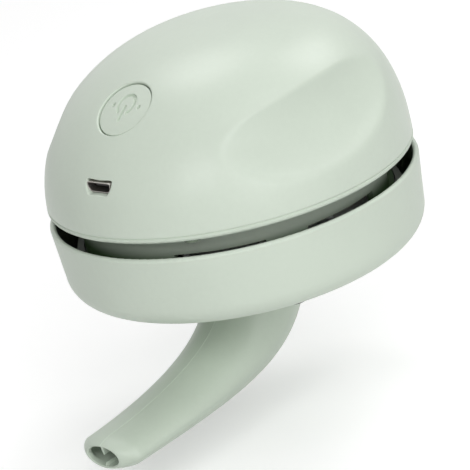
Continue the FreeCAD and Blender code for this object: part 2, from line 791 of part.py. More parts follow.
def make_motor():
    """Motor can with its nose, rear cap, terminals and the rubber sleeve that holds it."""
    bore = shaft_radius + running_gap
    can = new_body("motor_can")
    revolve(can, [
        (bore, deck_bottom + 0.4), (motor_nose_radius, deck_bottom + 0.4),
        (motor_nose_radius, deck_top), (motor_radius - motor_edge, deck_top, motor_edge, 1),
        (motor_radius, deck_top + motor_edge), (motor_radius, motor_top - motor_edge, motor_edge, 1),
        (motor_radius - motor_edge, motor_top), (bore, motor_top),
    ])
    cap = new_body("motor_end_cap")
    cap_top = motor_top + end_cap_height
    revolve(cap, [(0, motor_top), (end_cap_radius, motor_top), (end_cap_radius, cap_top - 0.4),
                  (end_cap_radius - 0.4, cap_top), (0, cap_top)])
    tabs = []
    for side in (-1, 1):
        x = side * terminal_x
        tabs.append(block("terminal", (x - terminal_thickness / 2, x + terminal_thickness / 2),
                          (-terminal_width / 2, terminal_width / 2),
                          (cap_top, cap_top + terminal_length)))
    group("motor_terminals", tabs)
    cut("motor_damper",
        cylinder("damper_outer", motor_radius + damper_wall, damper_length, 0, 0, deck_top + motor_edge),
        cylinder("damper_inner", motor_radius, damper_length, 0, 0, deck_top + motor_edge))


def make_rotor():
    """Shaft and the centrifugal fan pressed on it: back plate, hub and swept blades."""
    shaft_foot = fan_top - fan_plate - fan_blade_height + 0.4
    cylinder("motor_shaft", shaft_radius, motor_top - 0.3 - shaft_foot, 0, 0, shaft_foot)
    body = new_body("impeller")
    blade_bottom = fan_top - fan_plate - fan_blade_height
    plate_bottom = fan_top - fan_plate
    revolve(body, [
        (shaft_radius, blade_bottom), (fan_hub_radius - 1.6, blade_bottom),
        (fan_hub_radius, blade_bottom + 1.6), (fan_hub_radius, plate_bottom),
        (fan_radius, plate_bottom), (fan_radius, fan_top), (shaft_radius, fan_top),
    ])
    blade = new_sketch(body, "XY_Plane", blade_bottom)
    tip = fan_radius - 0.4
    lag = blade_thickness / fan_radius * 57.3
    outline(blade, [
        (*on_circle(fan_eye_radius, 0), blade_arc_radius, 1),
        (*on_circle(tip, -blade_sweep),),
        (*on_circle(tip, -blade_sweep + lag), blade_arc_radius - blade_thickness, -1),
        (*on_circle(fan_eye_radius + 0.3, 2.4 * lag),),
    ])
    repeat(body, pad(body, blade, fan_blade_height), blade_count)


def make_battery():
    """Round cell lying across the back of the head, with its two welded end tabs."""
    cell_z = deck_top + cell_lift + cell_radius
    body = new_body("cell_turned")
    half = cell_length / 2
    revolve(body, [(0, -half), (cell_radius - cell_edge, -half), (cell_radius, -half + cell_edge),
                   (cell_radius, half - cell_edge), (cell_radius - cell_edge, half), (0, half)])
    move(body, 0, cell_y, cell_z, 90)
    body.Label = "battery_cell"
    tabs = []
    for x in (-half - tab_thickness, half):
        disc = doc.addObject("Part::Cylinder", "cell_tab")
        bind(disc, "Radius", tab_radius)
        bind(disc, "Height", tab_thickness)
        tabs.append(move(disc, x, cell_y, cell_z, 90))
    group("battery_tabs", tabs)


def make_main_board():
    """Charging board on two posts, with its chips and screws."""
    wide = block("board_wide", (-board_half_width, board_half_width), (-board_step, -board_back),
                 (board_bottom, board_top))
    nose = block("board_nose", (-board_nose_half_width, board_nose_half_width),
                 (-board_front, -board_step), (board_bottom, board_top))
    holes = []
    screws = []
    for side in (-1, 1):
        x = side * board_post_x
        holes.append(cylinder("board_hole", board_screw_radius + 0.15, board_thickness * 3, x,
                              -board_post_y, board_bottom - board_thickness))
        head = cylinder("board_screw_head", board_screw_radius * 2, screw_head_height, x,
                        -board_post_y, board_top)
        shank = cylinder("board_screw_shank", board_screw_radius, board_screw_length - 0.4, x,
                         -board_post_y, board_top - board_screw_length + 0.4)
        screws.append(join("board_screw", head, shank))
    cut("main_board", join("board_blank", wide, nose), *holes)
    group("board_screws", screws)
    depth = board_step - board_back
    chips = []
    for name, x_low, x_high, y_low, y_high, rise in (
            ("charge_chip", -0.40, 0.03, 0.44, 0.86, 1.0),
            ("drive_chip", 0.21, 0.43, 0.56, 0.82, 0.7),
            ("coil_chip", -0.21, 0.07, 0.08, 0.38, 1.3)):
        x_span = (board_half_width * x_low, board_half_width * x_high)
        y_span = (-(board_back + depth * y_high), -(board_back + depth * y_low))
        chips.append(block(name, x_span, y_span, (board_top, board_top + chip_height * rise)))
    group("board_chips", chips)


def make_usb_socket():
    """Micro charging socket: folded metal shell and the plastic tongue in it."""
    shell = new_body("usb_shell")
    profile = usb_outline(new_sketch(shell, "XZ_Plane", usb_front - usb_depth), 0)
    usb_outline(profile, -usb_skin)
    pad(shell, profile, usb_depth)
    tongue_z = usb_z + usb_high * 0.12
    block("usb_tongue", (-tongue_width / 2, tongue_width / 2),
          (-(usb_front - usb_depth) - tongue_depth, -(usb_front - usb_depth)),
          (tongue_z - tongue_high / 2, tongue_z + tongue_high / 2))


def make_switch():
    """Small board behind the button with its push switch."""
    top = switch_depth
    button_block("switch_board", switch_board_width / 2, switch_board_length / 2, top, top + 1.0)
    body = button_block("switch_body", switch_side / 2, switch_side / 2, top - switch_height, top)
    room = along_button("switch_room", stem_radius + 0.1, top - switch_height - 1, top - 1.2)
    cut("push_switch", body, room)
    leds = [button_block("led", led_length / 2, led_length / 4, top - led_height, top, side * led_x)
            for side in (-1, 1)]
    group("indicator_leds", leds)


def make_button():
    """Round cap that follows the dome, its flange, and the stem that works the switch."""
    sunk = dome_solid("cap_form", 0)
    sunk_y = button_recess * sine(button_tilt)
    sunk_z = button_recess * cosine(button_tilt)
    lowered = doc.addObject("Part::Compound", "cap_form_sunk")
    lowered.Links = [sunk]
    move(lowered, 0, sunk_y, -sunk_z)
    plug = along_button("cap_plug", button_radius, -4, button_thickness)
    face = overlap_of("cap_face", plug, lowered)
    flange = along_button("cap_flange", button_radius + button_flange, shell_wall + 0.5,
                          button_thickness + 0.4)
    stem_end = switch_depth - switch_height
    stem = along_button("cap_stem", stem_radius * 1.6, button_thickness, stem_end - button_travel - 0.2)
    join("power_button", face, flange, stem)
    along_button("switch_plunger", stem_radius, stem_end - button_travel - 0.2, switch_depth - 2.2)


def make_frame_screws():
    """Four self-tapping screws that hold the dome to the mid frame from below."""
    screws = []
    for quarter in (post_angle, -post_angle, 180 - post_angle, 180 + post_angle):
        x, y = on_circle(post_circle, quarter)
        head = cylinder("frame_screw_head", screw_head_radius, screw_head_height, x, y,
                        deck_bottom - screw_head_height)
        slot = block("frame_screw_slot", (x - screw_head_radius, x + screw_head_radius),
                     (y - 0.25, y + 0.25), (deck_bottom - screw_head_height, deck_bottom - 0.7))
        shank = cylinder("frame_screw_shank", screw_radius, screw_length, x, y, deck_bottom)
        screws.append(cut("frame_screw", join("frame_screw_blank", head, shank), slot))
    group("frame_screws", screws)


# ---- sub-parts: the dust bowl ---------------------------------------------------------------------------------
def make_dust_bowl():
    """Bowl with a rounded foot, inner seal wall with bayonet slots, and the nozzle's socket."""
    body = new_body("dust_bowl")
    foot = bowl_radius - bowl_draft
    seal_outer = seal_wall_inner + seal_wall
    wall_foot = foot - bowl_wall
    socket = spigot_radius + running_gap
    lip = bowl_radius - lip_rounding * 2
    chamfer = wall_foot - seal_outer - bowl_groove
    revolve(body, [
        (socket, brush_recess),
        (brush_recess_radius, brush_recess),
        (brush_recess_radius, 0),
        (foot - bowl_rounding, 0, bowl_rounding, 1),
        (foot, bowl_rounding),
        (bowl_radius, bowl_height - lip_rounding, lip_rounding, 1),
        (bowl_radius - lip_rounding, bowl_height, lip_rounding, 1),
        (lip, bowl_height - lip_rounding),
        (wall_foot, bowl_floor + chamfer),
        (wall_foot - chamfer, bowl_floor),
        (seal_outer, bowl_floor),
        (seal_outer, seal_wall_top),
        (seal_wall_inner, seal_wall_top),
        (seal_wall_inner, bowl_floor),
        (hub_radius + hub_top - bowl_floor, bowl_floor),
        (hub_radius, hub_top),
        (socket + socket_wall, hub_top),
        (socket + socket_wall, socket_top),
        (socket, socket_top),
    ])
    slot_low = lug_bottom - lug_clearance
    slot_high = lug_bottom + lug_height + lug_clearance
    end_play = lug_end_play
    slot_width = lug_width + twist_angle + 2 * end_play
    slot = new_sketch(body, "XY_Plane", slot_high)
    ring_sector(slot, seal_wall_inner - 0.3, seal_outer + 0.3, lug_start - twist_angle / 2, slot_width)
    repeat(body, pocket(body, slot, slot_high - slot_low), lug_count)
    entry = new_sketch(body, "XY_Plane", seal_wall_top + 1)
    ring_sector(entry, seal_wall_inner - 0.3, seal_outer + 0.3, lug_start - twist_angle,
                lug_width + 2 * end_play)
    repeat(body, pocket(body, entry, seal_wall_top + 1 - slot_low), lug_count)
    seat = new_sketch(body, "XY_Plane", foot_seat)
    rim_circle(seat, foot_radius + 0.05, *on_circle(foot_circle, foot_angle))
    repeat(body, pocket(body, seat, foot_seat * 2), 3)


def make_feet():
    """Three rubber pads in the bowl's underside."""
    body = new_body("rubber_feet")
    pad_sketch = new_sketch(body, "XY_Plane", -foot_height)
    rim_circle(pad_sketch, foot_radius, *on_circle(foot_circle, foot_angle))
    repeat(body, pad(body, pad_sketch, foot_height + foot_seat), 3)


def make_brush():
    """Brush ring round the inlet: a carrier band and its bristle tufts."""
    inner = nozzle_root_radius + brush_gap
    outer = brush_recess_radius - brush_gap
    top = brush_recess
    bottom = brush_recess - brush_carrier_height
    carrier = new_body("brush_carrier")
    revolve(carrier, [(inner, bottom), (outer, bottom), (outer, top), (inner, top)])
    tufts = new_body("brush_tufts")
    sketch = new_sketch(tufts, "XY_Plane", bottom - tuft_length)
    rim_circle(sketch, tuft_radius, tuft_circle, 0)
    repeat(tufts, pad(tufts, sketch, tuft_length), tuft_count)


# ---- sub-parts: the nozzle --------------------------------------------------------------------------------------
NOZZLE_STATIONS = 12


def cubic(part, start, first, second, end):
    """Value on a cubic curve that is pulled towards first and second between its ends."""
    return ((1 - part) ** 3 * start + 3 * part * (1 - part) ** 2 * first
            + 3 * part ** 2 * (1 - part) * second + part ** 3 * end)


def cubic_slope(part, start, first, second, end):
    """Rate of change of the cubic curve."""
    return (3 * (1 - part) ** 2 * (first - start) + 6 * part * (1 - part) * (second - first)
            + 3 * part ** 2 * (end - second))


def nozzle_station(part):
    """Centre (y, z) and angle from straight down of the nozzle's middle line."""
    line_y = (term(0), term(0), nozzle_tip_pull * sine(nozzle_tip_angle) - nozzle_reach,
              -nozzle_reach)
    line_z = (brush_recess, brush_recess - nozzle_root_pull,
              nozzle_tip_pull * cosine(nozzle_tip_angle) - nozzle_drop, -nozzle_drop)
    angle = arctangent2(-cubic_slope(part, *line_y), -cubic_slope(part, *line_z))
    return cubic(part, *line_y), cubic(part, *line_z), angle


def nozzle_section(name, part, inset):
    """Oval across the horn's middle line, drawn in by inset."""
    half_height = cubic(part, nozzle_root_radius, nozzle_root_radius - 0.1,
                        nozzle_tip_half_height + nozzle_height_swell, nozzle_tip_half_height)
    half_width = cubic(part, nozzle_root_radius + 0.001, nozzle_root_radius,
                       nozzle_tip_half_width - nozzle_waist, nozzle_tip_half_width)
    y, z, angle = nozzle_station(part)
    oval = doc.addObject("Part::Ellipse", name)
    bind(oval, "MajorRadius", half_width - inset)
    bind(oval, "MinorRadius", half_height - inset)
    return move(oval, 0, y, z, 0, -angle)


def nose_section(name, reach, half_width, half_height):
    """Oval beyond the horn's tip, reach further on."""
    oval = doc.addObject("Part::Ellipse", name)
    bind(oval, "MajorRadius", half_width)
    bind(oval, "MinorRadius", half_height)
    y = -nozzle_reach - reach * sine(nozzle_tip_angle)
    z = -nozzle_drop - reach * cosine(nozzle_tip_angle)
    return move(oval, 0, y, z, 0, -nozzle_tip_angle)


def nozzle_horn(name, inset, nose_sections):
    """Horn drawn in by inset, with a nose through the given sections beyond its tip."""
    sections = [nozzle_section(f"{name}_oval", step / (NOZZLE_STATIONS - 1), inset)
                for step in range(NOZZLE_STATIONS)]
    base = nozzle_section(f"{name}_tip", 1.0, inset)
    return join(name, loft(f"{name}_bend", sections), loft(f"{name}_nose", [base] + nose_sections))


def make_nozzle():
    """Two glued half shells of the curved nozzle, split on its plane of symmetry."""
    nose = [
        nose_section("nose_oval", nozzle_nose * 0.5, nozzle_tip_half_width - 0.8,
                     nozzle_tip_half_height - 0.15),
        nose_section("nose_oval", nozzle_nose * 0.85, nozzle_tip_half_width - 2.1,
                     nozzle_tip_half_height - 0.4),
        nose_section("nose_oval", nozzle_nose, mouth_half_width + mouth_lip,
                     mouth_half_height + mouth_lip),
    ]
    outside = nozzle_horn("horn_outside", 0, nose)
    lead_in = [
        nose_section("duct_oval", nozzle_nose * 0.7, mouth_half_width, mouth_half_height),
        nose_section("duct_oval", nozzle_nose * 1.2, mouth_half_width, mouth_half_height),
    ]
    duct = nozzle_horn("horn_inside", nozzle_wall, lead_in)
    bore_radius = spigot_radius - nozzle_wall
    core_foot = brush_recess - nozzle_wall
    spigot = cylinder("spigot", spigot_radius, socket_top - spigot_end_gap - core_foot, 0, 0, core_foot)
    root_core = cylinder("root_core", nozzle_root_radius - nozzle_wall / 2, nozzle_wall, 0, 0,
                         core_foot)
    throat = cylinder("throat", bore_radius, socket_top + 1 - core_foot, 0, 0, core_foot - 0.5)
    hollow = cut("nozzle_hollow", outside, duct)
    filled = join("nozzle_filled", hollow, root_core, spigot)
    bored = cut("nozzle_bored", filled, throat)
    reach = nozzle_reach * 3
    for name, side in (("nozzle_half_left", -1), ("nozzle_half_right", 1)):
        x_span = (-reach, 0) if side < 0 else (0, reach)
        room = block(f"{name}_side", x_span, (-reach, reach), (-reach, reach))
        overlap_of(name, bored, room)


make_top_shell()
make_mid_frame()
make_fan_cover()
make_filter()
make_seal_ring()
make_motor()
make_rotor()
make_battery()
make_main_board()
make_usb_socket()
make_switch()
make_button()
make_frame_screws()
make_dust_bowl()
make_feet()
make_brush()
make_nozzle()
doc.recompute()

NODES = (
    "top_shell", "mid_frame", "fan_cover", "filter_frame", "filter_mesh", "seal_ring",
    "motor_can", "motor_end_cap", "motor_terminals", "motor_damper", "battery_cell",
    "battery_tabs", "main_board", "board_chips", "board_screws", "usb_shell", "usb_tongue",
    "switch_board", "push_switch", "indicator_leds", "frame_screws", "power_button", "switch_plunger",
    "motor_shaft", "impeller", "dust_bowl", "rubber_feet", "brush_carrier", "brush_tufts",
    "nozzle_half_left", "nozzle_half_right",
)


def write_nodes():
    """Check every object and write each sub-part to its own file."""
    for obj in doc.Objects:
        if "Invalid" in obj.State or "Error" in obj.State:
            raise RuntimeError(f"{obj.Label} failed: {obj.State}")
    os.makedirs("parts", exist_ok=True)
    for name in NODES:
        found = doc.getObjectsByLabel(name)
        if len(found) != 1:
            raise RuntimeError(f"{name}: {len(found)} objects have this label")
        shape = found[0].Shape
        if shape.isNull() or not shape.isValid() or not shape.Solids:
            raise RuntimeError(f"{name} is not a valid solid")
        shape.exportStep(os.path.join("parts", f"{name}.step"))
        box = shape.BoundBox
        print(f"{name}: {len(shape.Solids)} solid, {shape.Volume:.1f} mm3, "
              f"x {box.XMin:.1f}..{box.XMax:.1f} y {box.YMin:.1f}..{box.YMax:.1f} "
              f"z {box.ZMin:.1f}..{box.ZMax:.1f}")


write_nodes()
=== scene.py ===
"""Looks of the desktop mini vacuum: its outer pieces, finishes, floor, lights and camera."""

from __future__ import annotations

import json
import logging
import math
from dataclasses import dataclass, field, replace
from enum import Enum
from typing import Any, Callable, Iterable

import bpy
import bmesh
import numpy as np
from mathutils import Matrix, Vector

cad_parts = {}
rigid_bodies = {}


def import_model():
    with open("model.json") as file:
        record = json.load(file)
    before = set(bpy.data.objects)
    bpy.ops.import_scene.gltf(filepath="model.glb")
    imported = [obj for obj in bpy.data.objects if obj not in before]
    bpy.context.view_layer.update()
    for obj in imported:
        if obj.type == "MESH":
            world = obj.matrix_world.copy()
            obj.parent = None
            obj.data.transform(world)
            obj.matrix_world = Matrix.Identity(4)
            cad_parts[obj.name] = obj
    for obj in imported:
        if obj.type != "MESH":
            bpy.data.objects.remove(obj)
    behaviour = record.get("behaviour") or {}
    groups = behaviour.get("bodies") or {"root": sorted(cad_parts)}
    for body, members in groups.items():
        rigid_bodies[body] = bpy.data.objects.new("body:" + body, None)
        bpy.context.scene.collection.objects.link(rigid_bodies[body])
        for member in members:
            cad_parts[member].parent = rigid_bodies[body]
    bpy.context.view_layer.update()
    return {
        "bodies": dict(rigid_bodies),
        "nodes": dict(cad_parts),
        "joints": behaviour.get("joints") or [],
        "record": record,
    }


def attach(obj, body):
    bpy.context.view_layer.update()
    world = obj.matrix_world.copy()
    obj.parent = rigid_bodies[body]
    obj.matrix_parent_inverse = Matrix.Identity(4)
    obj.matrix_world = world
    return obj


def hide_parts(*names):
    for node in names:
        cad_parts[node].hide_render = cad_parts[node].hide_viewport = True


MM = 0.001
WHITE = (1.0, 1.0, 1.0, 1.0)
UPRIGHT = np.array([0.0, 0.0, 1.0])
Array = np.ndarray
Colour = tuple[float, float, float, float]
Inputs = dict[Any, Any]
Pair = tuple[float, float]
Trio = tuple[float, float, float]
Piece = bpy.types.Object
Socket = bpy.types.NodeSocket
log = logging.getLogger("mini_vacuum")


# ---- small helpers ----


def smooth_step(value: Array, low: float, high: float) -> Array:
    """Ease from 0 at low to 1 at high by 3t^2 - 2t^3, which is flat at both ends."""
    share = np.clip((value - low) / (high - low), 0.0, 1.0)
    return share * share * (3.0 - 2.0 * share)


def smooth_max(first: Array, second: Array, width: Array) -> Array:
    """The larger of two fields, rounded off where they differ by less than the width."""
    near = np.clip(width - np.abs(first - second), 0.0, None) / width
    return np.maximum(first, second) + near * near * width / 4.0


def cubic(part: Array, start: float, first: float, second: float, end: float) -> Array:
    """Bernstein cubic from start to end, pulled towards first and second."""
    rest = 1.0 - part
    return (rest**3 * start + 3 * part * rest**2 * first
            + 3 * part**2 * rest * second + part**3 * end)


def cubic_slope(part: Array, start: float, first: float, second: float, end: float) -> Array:
    """Rate of change of the same cubic."""
    rest = 1.0 - part
    return (3 * rest**2 * (first - start) + 6 * part * rest * (second - first)
            + 3 * part**2 * (end - second))


def polar(radius: Array | float, angle: Array | float) -> Array:
    """The x and y, as the last axis, of points at a radius and an angle in radians."""
    return np.stack([radius * np.cos(angle), radius * np.sin(angle)], -1)


def full_turn(count: int) -> Array:
    """Evenly spread angles once round."""
    return np.linspace(0.0, 2 * math.pi, count, endpoint=False)


def quarter_turn(steps: int) -> tuple[Array, Array]:
    """Sine and 1 - cosine of each step of a quarter turn, shaped to act on a ring of points."""
    bend = np.radians(np.arange(1, steps + 1) * 90.0 / steps)[:, None, None]
    return np.sin(bend), 1 - np.cos(bend)


def halve(inside: Callable[[Array], Array], low: Array, high: Array,
          steps: int) -> tuple[Array, Array]:
    """Close in on where a test changes, by halving.

    Args:
        inside: Test that holds at the low end.
        low: Low ends.
        high: High ends.
        steps: How often each span is halved.

    Returns:
        The last low and high ends.
    """
    for _ in range(steps):
        middle = (low + high) / 2.0
        held = inside(middle)
        low, high = np.where(held, middle, low), np.where(held, high, middle)
    return low, high


def link(name: str, data: bpy.types.ID) -> Piece:
    """Put a mesh, lamp or camera into the scene as an object.

    Args:
        name: Name of the object.
        data: What the object shows.

    Returns:
        The object.
    """
    made = bpy.data.objects.new(name, data)
    bpy.context.scene.collection.objects.link(made)
    return made


# ---- meshes ----


@dataclass
class Skin:
    """A mesh in the making: blocks of points in millimetres and the faces that join them."""

    points: list[Array] = field(default_factory=list)
    faces: list[Array] = field(default_factory=list)
    count: int = 0

    def place(self, block: Array) -> Array:
        """Add a block of points.

        Args:
            block: Points, with any leading shape and x, y, z last.

        Returns:
            The points' numbers in the same leading shape.
        """
        flat = block.reshape(-1, 3)
        numbers = np.arange(self.count, self.count + len(flat)).reshape(block.shape[:-1])
        self.points.append(flat)
        self.count += len(flat)
        return numbers

    def weave(self, numbers: Array, closed: bool = True, keep: Array | None = None) -> None:
        """Join neighbouring rows of numbers by four-sided faces.

        Args:
            numbers: Rows by columns.
            closed: Whether the last column meets the first.
            keep: Which faces stay, rows less one by columns; all when None.
        """
        ahead = np.roll(numbers, -1, axis=1)
        quads = np.stack([numbers[:-1], ahead[:-1], ahead[1:], numbers[1:]], axis=-1)
        if keep is not None:
            self.faces.append(quads[keep])
        else:
            self.faces.append((quads if closed else quads[:, :-1]).reshape(-1, 4))

    def fan(self, row: Array, tip: Array) -> None:
        """Close a ring of numbers with triangles to one new point."""
        centre = self.place(np.asarray(tip, float).reshape(1, 3))[0]
        self.faces.append(np.stack([row, np.roll(row, -1), np.full_like(row, centre)], axis=-1))

    def stitch(self, fine: Array, coarse: Array) -> None:
        """Join a ring to one that has half as many points, by triangles.

        Args:
            fine: Ring of 2n numbers.
            coarse: Ring of n numbers.
        """
        first, middle = fine[0::2], fine[1::2]
        last, ahead = np.roll(first, -1), np.roll(coarse, -1)
        for trio in ((first, middle, coarse), (middle, ahead, coarse), (middle, last, ahead)):
            self.faces.append(np.stack(trio, axis=-1))

    def lathe(self, profile: Array, columns: int, spot: Array, hollow: bool) -> None:
        """Turn a profile about an upright axis into a closed body.

        Args:
            profile: Rows of (radius, height).
            columns: Points round the axis.
            spot: The x and y of the axis.
            hollow: Whether the last row meets the first; otherwise a fan closes each end.
        """
        foot = np.append(spot, 0.0)
        ring = np.append(polar(1.0, full_turn(columns)), np.zeros((columns, 1)), axis=1)
        numbers = self.place(foot + profile[:, 0, None, None] * ring
                             + profile[:, 1, None, None] * UPRIGHT)
        if hollow:
            self.weave(np.concatenate([numbers, numbers[:1]]))
            return
        self.weave(numbers)
        for end in (0, -1):
            self.fan(numbers[end], foot + profile[end, 1] * UPRIGHT)

    def build(self, name: str, sharp: float = 34.0) -> Piece:
        """Make the Blender object, with faces outwards and edges sharp past an angle.

        Args:
            name: Name of the piece.
            sharp: Angle in degrees past which an edge stays crisp.

        Returns:
            The object, at the origin, with its place in its mesh.
        """
        mesh = bpy.data.meshes.new(name)
        faces = [face for block in self.faces for face in block.tolist()]
        mesh.from_pydata((np.concatenate(self.points) * MM).tolist(), [], faces)
        work = bmesh.new()
        work.from_mesh(mesh)
        bmesh.ops.remove_doubles(work, verts=work.verts, dist=1e-7)
        bmesh.ops.recalc_face_normals(work, faces=work.faces)
        work.to_mesh(mesh)
        work.free()
        mesh.shade_smooth()
        mesh.set_sharp_from_angle(angle=math.radians(sharp))
        return link(name, mesh)


# ---- shader maths ----


class Shader:
    """Node tree of one material or world, with one method that makes any node."""

    def __init__(self, owner: bpy.types.ID) -> None:
        """Start an empty tree.

        Args:
            owner: New material or world.
        """
        self.owner = owner
        self.owner.use_nodes = True
        self.tree = owner.node_tree
        self.tree.nodes.clear()

    def node(self, kind: str, settings: Inputs | None = None,
             sockets: Inputs | None = None) -> bpy.types.Node:
        """Make a node: its settings first, then the values or links of its inputs.

        Args:
            kind: Node type, less its first word.
            settings: Properties of the node.
            sockets: Input name or number to a plain value, or to the Value, output socket or
                node whose first output feeds it.

        Returns:
            The node.
        """
        made = self.tree.nodes.new(f"ShaderNode{kind}")
        for key, setting in (settings or {}).items():
            setattr(made, key, setting)
        for key, given in (sockets or {}).items():
            given = given.socket if isinstance(given, Value) else given
            given = given.outputs[0] if isinstance(given, bpy.types.Node) else given
            if isinstance(given, Socket):
                self.tree.links.new(given, made.inputs[key])
            else:
                made.inputs[key].default_value = given
        return made

    def value(self, kind: str, settings: Inputs | None = None,
              sockets: Inputs | None = None) -> Value:
        """Make a node and take its first output as a number."""
        return Value(self, self.node(kind, settings, sockets).outputs[0])

    def maths(self, operation: str, *operands: Any) -> Value:
        """Run one Math operation."""
        return self.value("Math", {"operation": operation}, dict(enumerate(operands)))

    def place(self) -> Socket:
        """Object coordinates, which are the part's own frame in metres."""
        return self.node("TexCoord").outputs["Object"]

    def axes(self) -> list[Value]:
        """The x, y and z of the place, in metres."""
        split = self.node("SeparateXYZ", None, {0: self.place()})
        return [Value(self, out) for out in split.outputs]

    def glance(self) -> Value:
        """Whether a ray comes from the camera or by way of a mirroring or clear surface.

        Returns:
            1 if it does, otherwise 0.
        """
        path = self.node("LightPath")
        seen = Value(self, path.outputs["Is Camera Ray"])
        for kind in ("Is Glossy Ray", "Is Transmission Ray"):
            seen = seen.maths("MAXIMUM", path.outputs[kind])
        return seen

    def noise(self, size: float, detail: float = 3.0, rough: float = 0.55,
              stretch: Trio = (1.0, 1.0, 1.0)) -> Value:
        """Cloudy noise from 0 to 1.

        Args:
            size: Width of one cloud in millimetres.
            detail: Octaves.
            rough: How strong the finer octaves are.
            stretch: How much longer the clouds are along x, y and z.

        Returns:
            The noise.
        """
        scale = [1.0 / (size * MM * along) for along in stretch]
        mapped = self.node("Mapping", None, {"Vector": self.place(), "Scale": scale})
        return self.value("TexNoise", None, {
            "Vector": mapped, "Scale": 1.0, "Detail": detail, "Roughness": rough})

    def cells(self, size: float) -> Value:
        """Distance to scattered points, in cells whose width is the size in millimetres."""
        return self.value("TexVoronoi", {"feature": "F1"}, {
            "Vector": self.place(), "Scale": 1.0 / (size * MM)})

    def mix(self, share: Any, first: Any, second: Any) -> Socket:
        """Blend two colours, with this share of the second."""
        sockets = {0: share, 6: first, 7: second}
        return self.node("Mix", {"data_type": "RGBA"}, sockets).outputs[2]

    def bump(self, height: Value, depth: float) -> Socket:
        """Normal bent by a relief that rises by depth millimetres where the height is 1."""
        return self.node("Bump", None, {
            "Height": height, "Distance": depth * MM, "Strength": 1.0}).outputs[0]


@dataclass(frozen=True, eq=False)
class Value:
    """A number that varies over the surface; Python's operators on it add Math nodes."""

    shader: Shader
    socket: Socket

    def maths(self, operation: str, *others: Any) -> Value:
        """Run one Math operation with this number first."""
        return self.shader.maths(operation, self, *others)

    def __add__(self, other: Any) -> Value:
        """Sum."""
        return self.maths("ADD", other)

    __radd__ = __add__

    def __sub__(self, other: Any) -> Value:
        """Difference."""
        return self.maths("SUBTRACT", other)

    def __rsub__(self, other: float) -> Value:
        """Difference, number first."""
        return self.shader.maths("SUBTRACT", other, self)

    def __mul__(self, other: Any) -> Value:
        """Product."""
        return self.maths("MULTIPLY", other)

    def __pow__(self, other: Any) -> Value:
        """Power."""
        return self.maths("POWER", other)

    def __abs__(self) -> Value:
        """Size without sign."""
        return self.maths("ABSOLUTE")

    def ease(self, low: float, high: float) -> Value:
        """Ease from 0 at low to 1 at high."""
        return self.shader.value("MapRange", {"interpolation_type": "SMOOTHSTEP"}, {
            "Value": self, "From Min": low, "From Max": high})


def srgb(red: float, green: float, blue: float) -> Colour:
    """A screen colour, each part 0 to 255, as the linear colour that the shaders use."""
    parts = (c / 255.0 for c in (red, green, blue))
    return (*(c / 12.92 if c <= 0.04045 else ((c + 0.055) / 1.055) ** 2.4 for c in parts), 1.0)


def scaled(colour: Colour, amount: float) -> Colour:
    """A colour made lighter or darker."""
    return (*(part * amount for part in colour[:3]), 1.0)


# ---- finishes ----


@dataclass(frozen=True)
class Finish:
    """One surface finish; its material is made on first use and then shared."""

    name: str
    colour: Colour
    made = {}

    def material(self) -> bpy.types.Material:
        """The material of this finish."""
        if self.name not in Finish.made:
            shader = Shader(bpy.data.materials.new(self.name))
            body = shader.node("BsdfPrincipled", None, self.paint(shader))
            shader.node("OutputMaterial", None, {"Surface": body})
            Finish.made[self.name] = shader.owner
        return Finish.made[self.name]

    def paint(self, shader: Shader) -> Inputs:
        """Add the finish's nodes and say what feeds the surface; each kind has its own way."""
        raise NotImplementedError

    def dress(self, piece: Piece) -> None:
        """Give every face of a piece this finish."""
        piece.data.materials.clear()
        piece.data.materials.append(self.material())


@dataclass(frozen=True)
class PaintedShade:
    """Painted shade: a deeper colour painted on the part of a piece that hardly any light reaches.
    """

    colour: Colour
    low: float
    high: float
    floor: float = -100.0
    within: float = 100.0
    floor_fade: float = 0.5
    rim_fade: float = 0.1

    def share(self, shader: Shader) -> Value:
        """1 below the low height; 0 above the high one, under the floor and past the radius.

        Args:
            shader: Tree to add to.

        Returns:
            How much painted shade each place gets.
        """
        across, along, height = shader.axes()
        reach = (across * across + along * along) ** 0.5
        under = 1.0 - height.ease(self.low * MM, self.high * MM)
        over = height.ease((self.floor - self.floor_fade) * MM, (self.floor + self.floor_fade) * MM)
        past = reach.ease((self.within - self.rim_fade) * MM, (self.within + self.rim_fade) * MM)
        return under * over * (1.0 - past)


@dataclass(frozen=True)
class MouldedPlastic(Finish):
    """Satin injection-moulded plastic: spark-eroded grain, faint flow clouds, uneven gloss; where
    set, a painted highlight along a seam and painted shade where little light reaches.
    """

    gloss: float = 0.42
    grain: float = 0.22
    grain_depth: float = 0.004
    flow: float = 0.025
    # Width in mm of a painted highlight, a paler line along the seam bead at x = 0; 0 paints none.
    seam: float = 0.0
    ior: float = 1.47
    # Painted shade: a deeper colour painted where hardly any light reaches, or None for none.
    painted_shade: PaintedShade | None = None

    def paint(self, shader: Shader) -> Inputs:
        """Clouds tint the colour, fine noise lifts the grain; a painted highlight makes a seam
        paler and painted shade makes a sheltered part deeper.

        Args:
            shader: Tree to add to.

        Returns:
            Inputs of the surface.
        """
        clouds = shader.noise(26.0, 2.0)
        flecks = shader.noise(1.3, 4.0, 0.6)
        tint = (clouds * 0.7 + flecks * 0.3).ease(0.3, 0.7)
        colour = shader.mix(tint, scaled(self.colour, 1 - self.flow),
                            scaled(self.colour, 1 + self.flow))
        relief = shader.noise(self.grain, 2.0, 0.6)
        # Painted highlight: the colour turns paler along the seam bead, within the seam width of x
        # = 0.
        if self.seam:
            line = 1.0 - abs(shader.axes()[0]).ease(self.seam * 0.35 * MM, self.seam * MM)
            colour = shader.mix(line * 0.55, colour, scaled(self.colour, 1.22))
        # Painted shade: blend towards the deeper colour where hardly any light reaches.
        if self.painted_shade is not None:
            colour = shader.mix(self.painted_shade.share(shader), colour, self.painted_shade.colour)
        gloss = shader.noise(3.5, 3.0) * 0.08 + (self.gloss - 0.04)
        return {"Base Color": colour, "Roughness": gloss, "IOR": self.ior,
                "Normal": shader.bump(relief, self.grain_depth)}


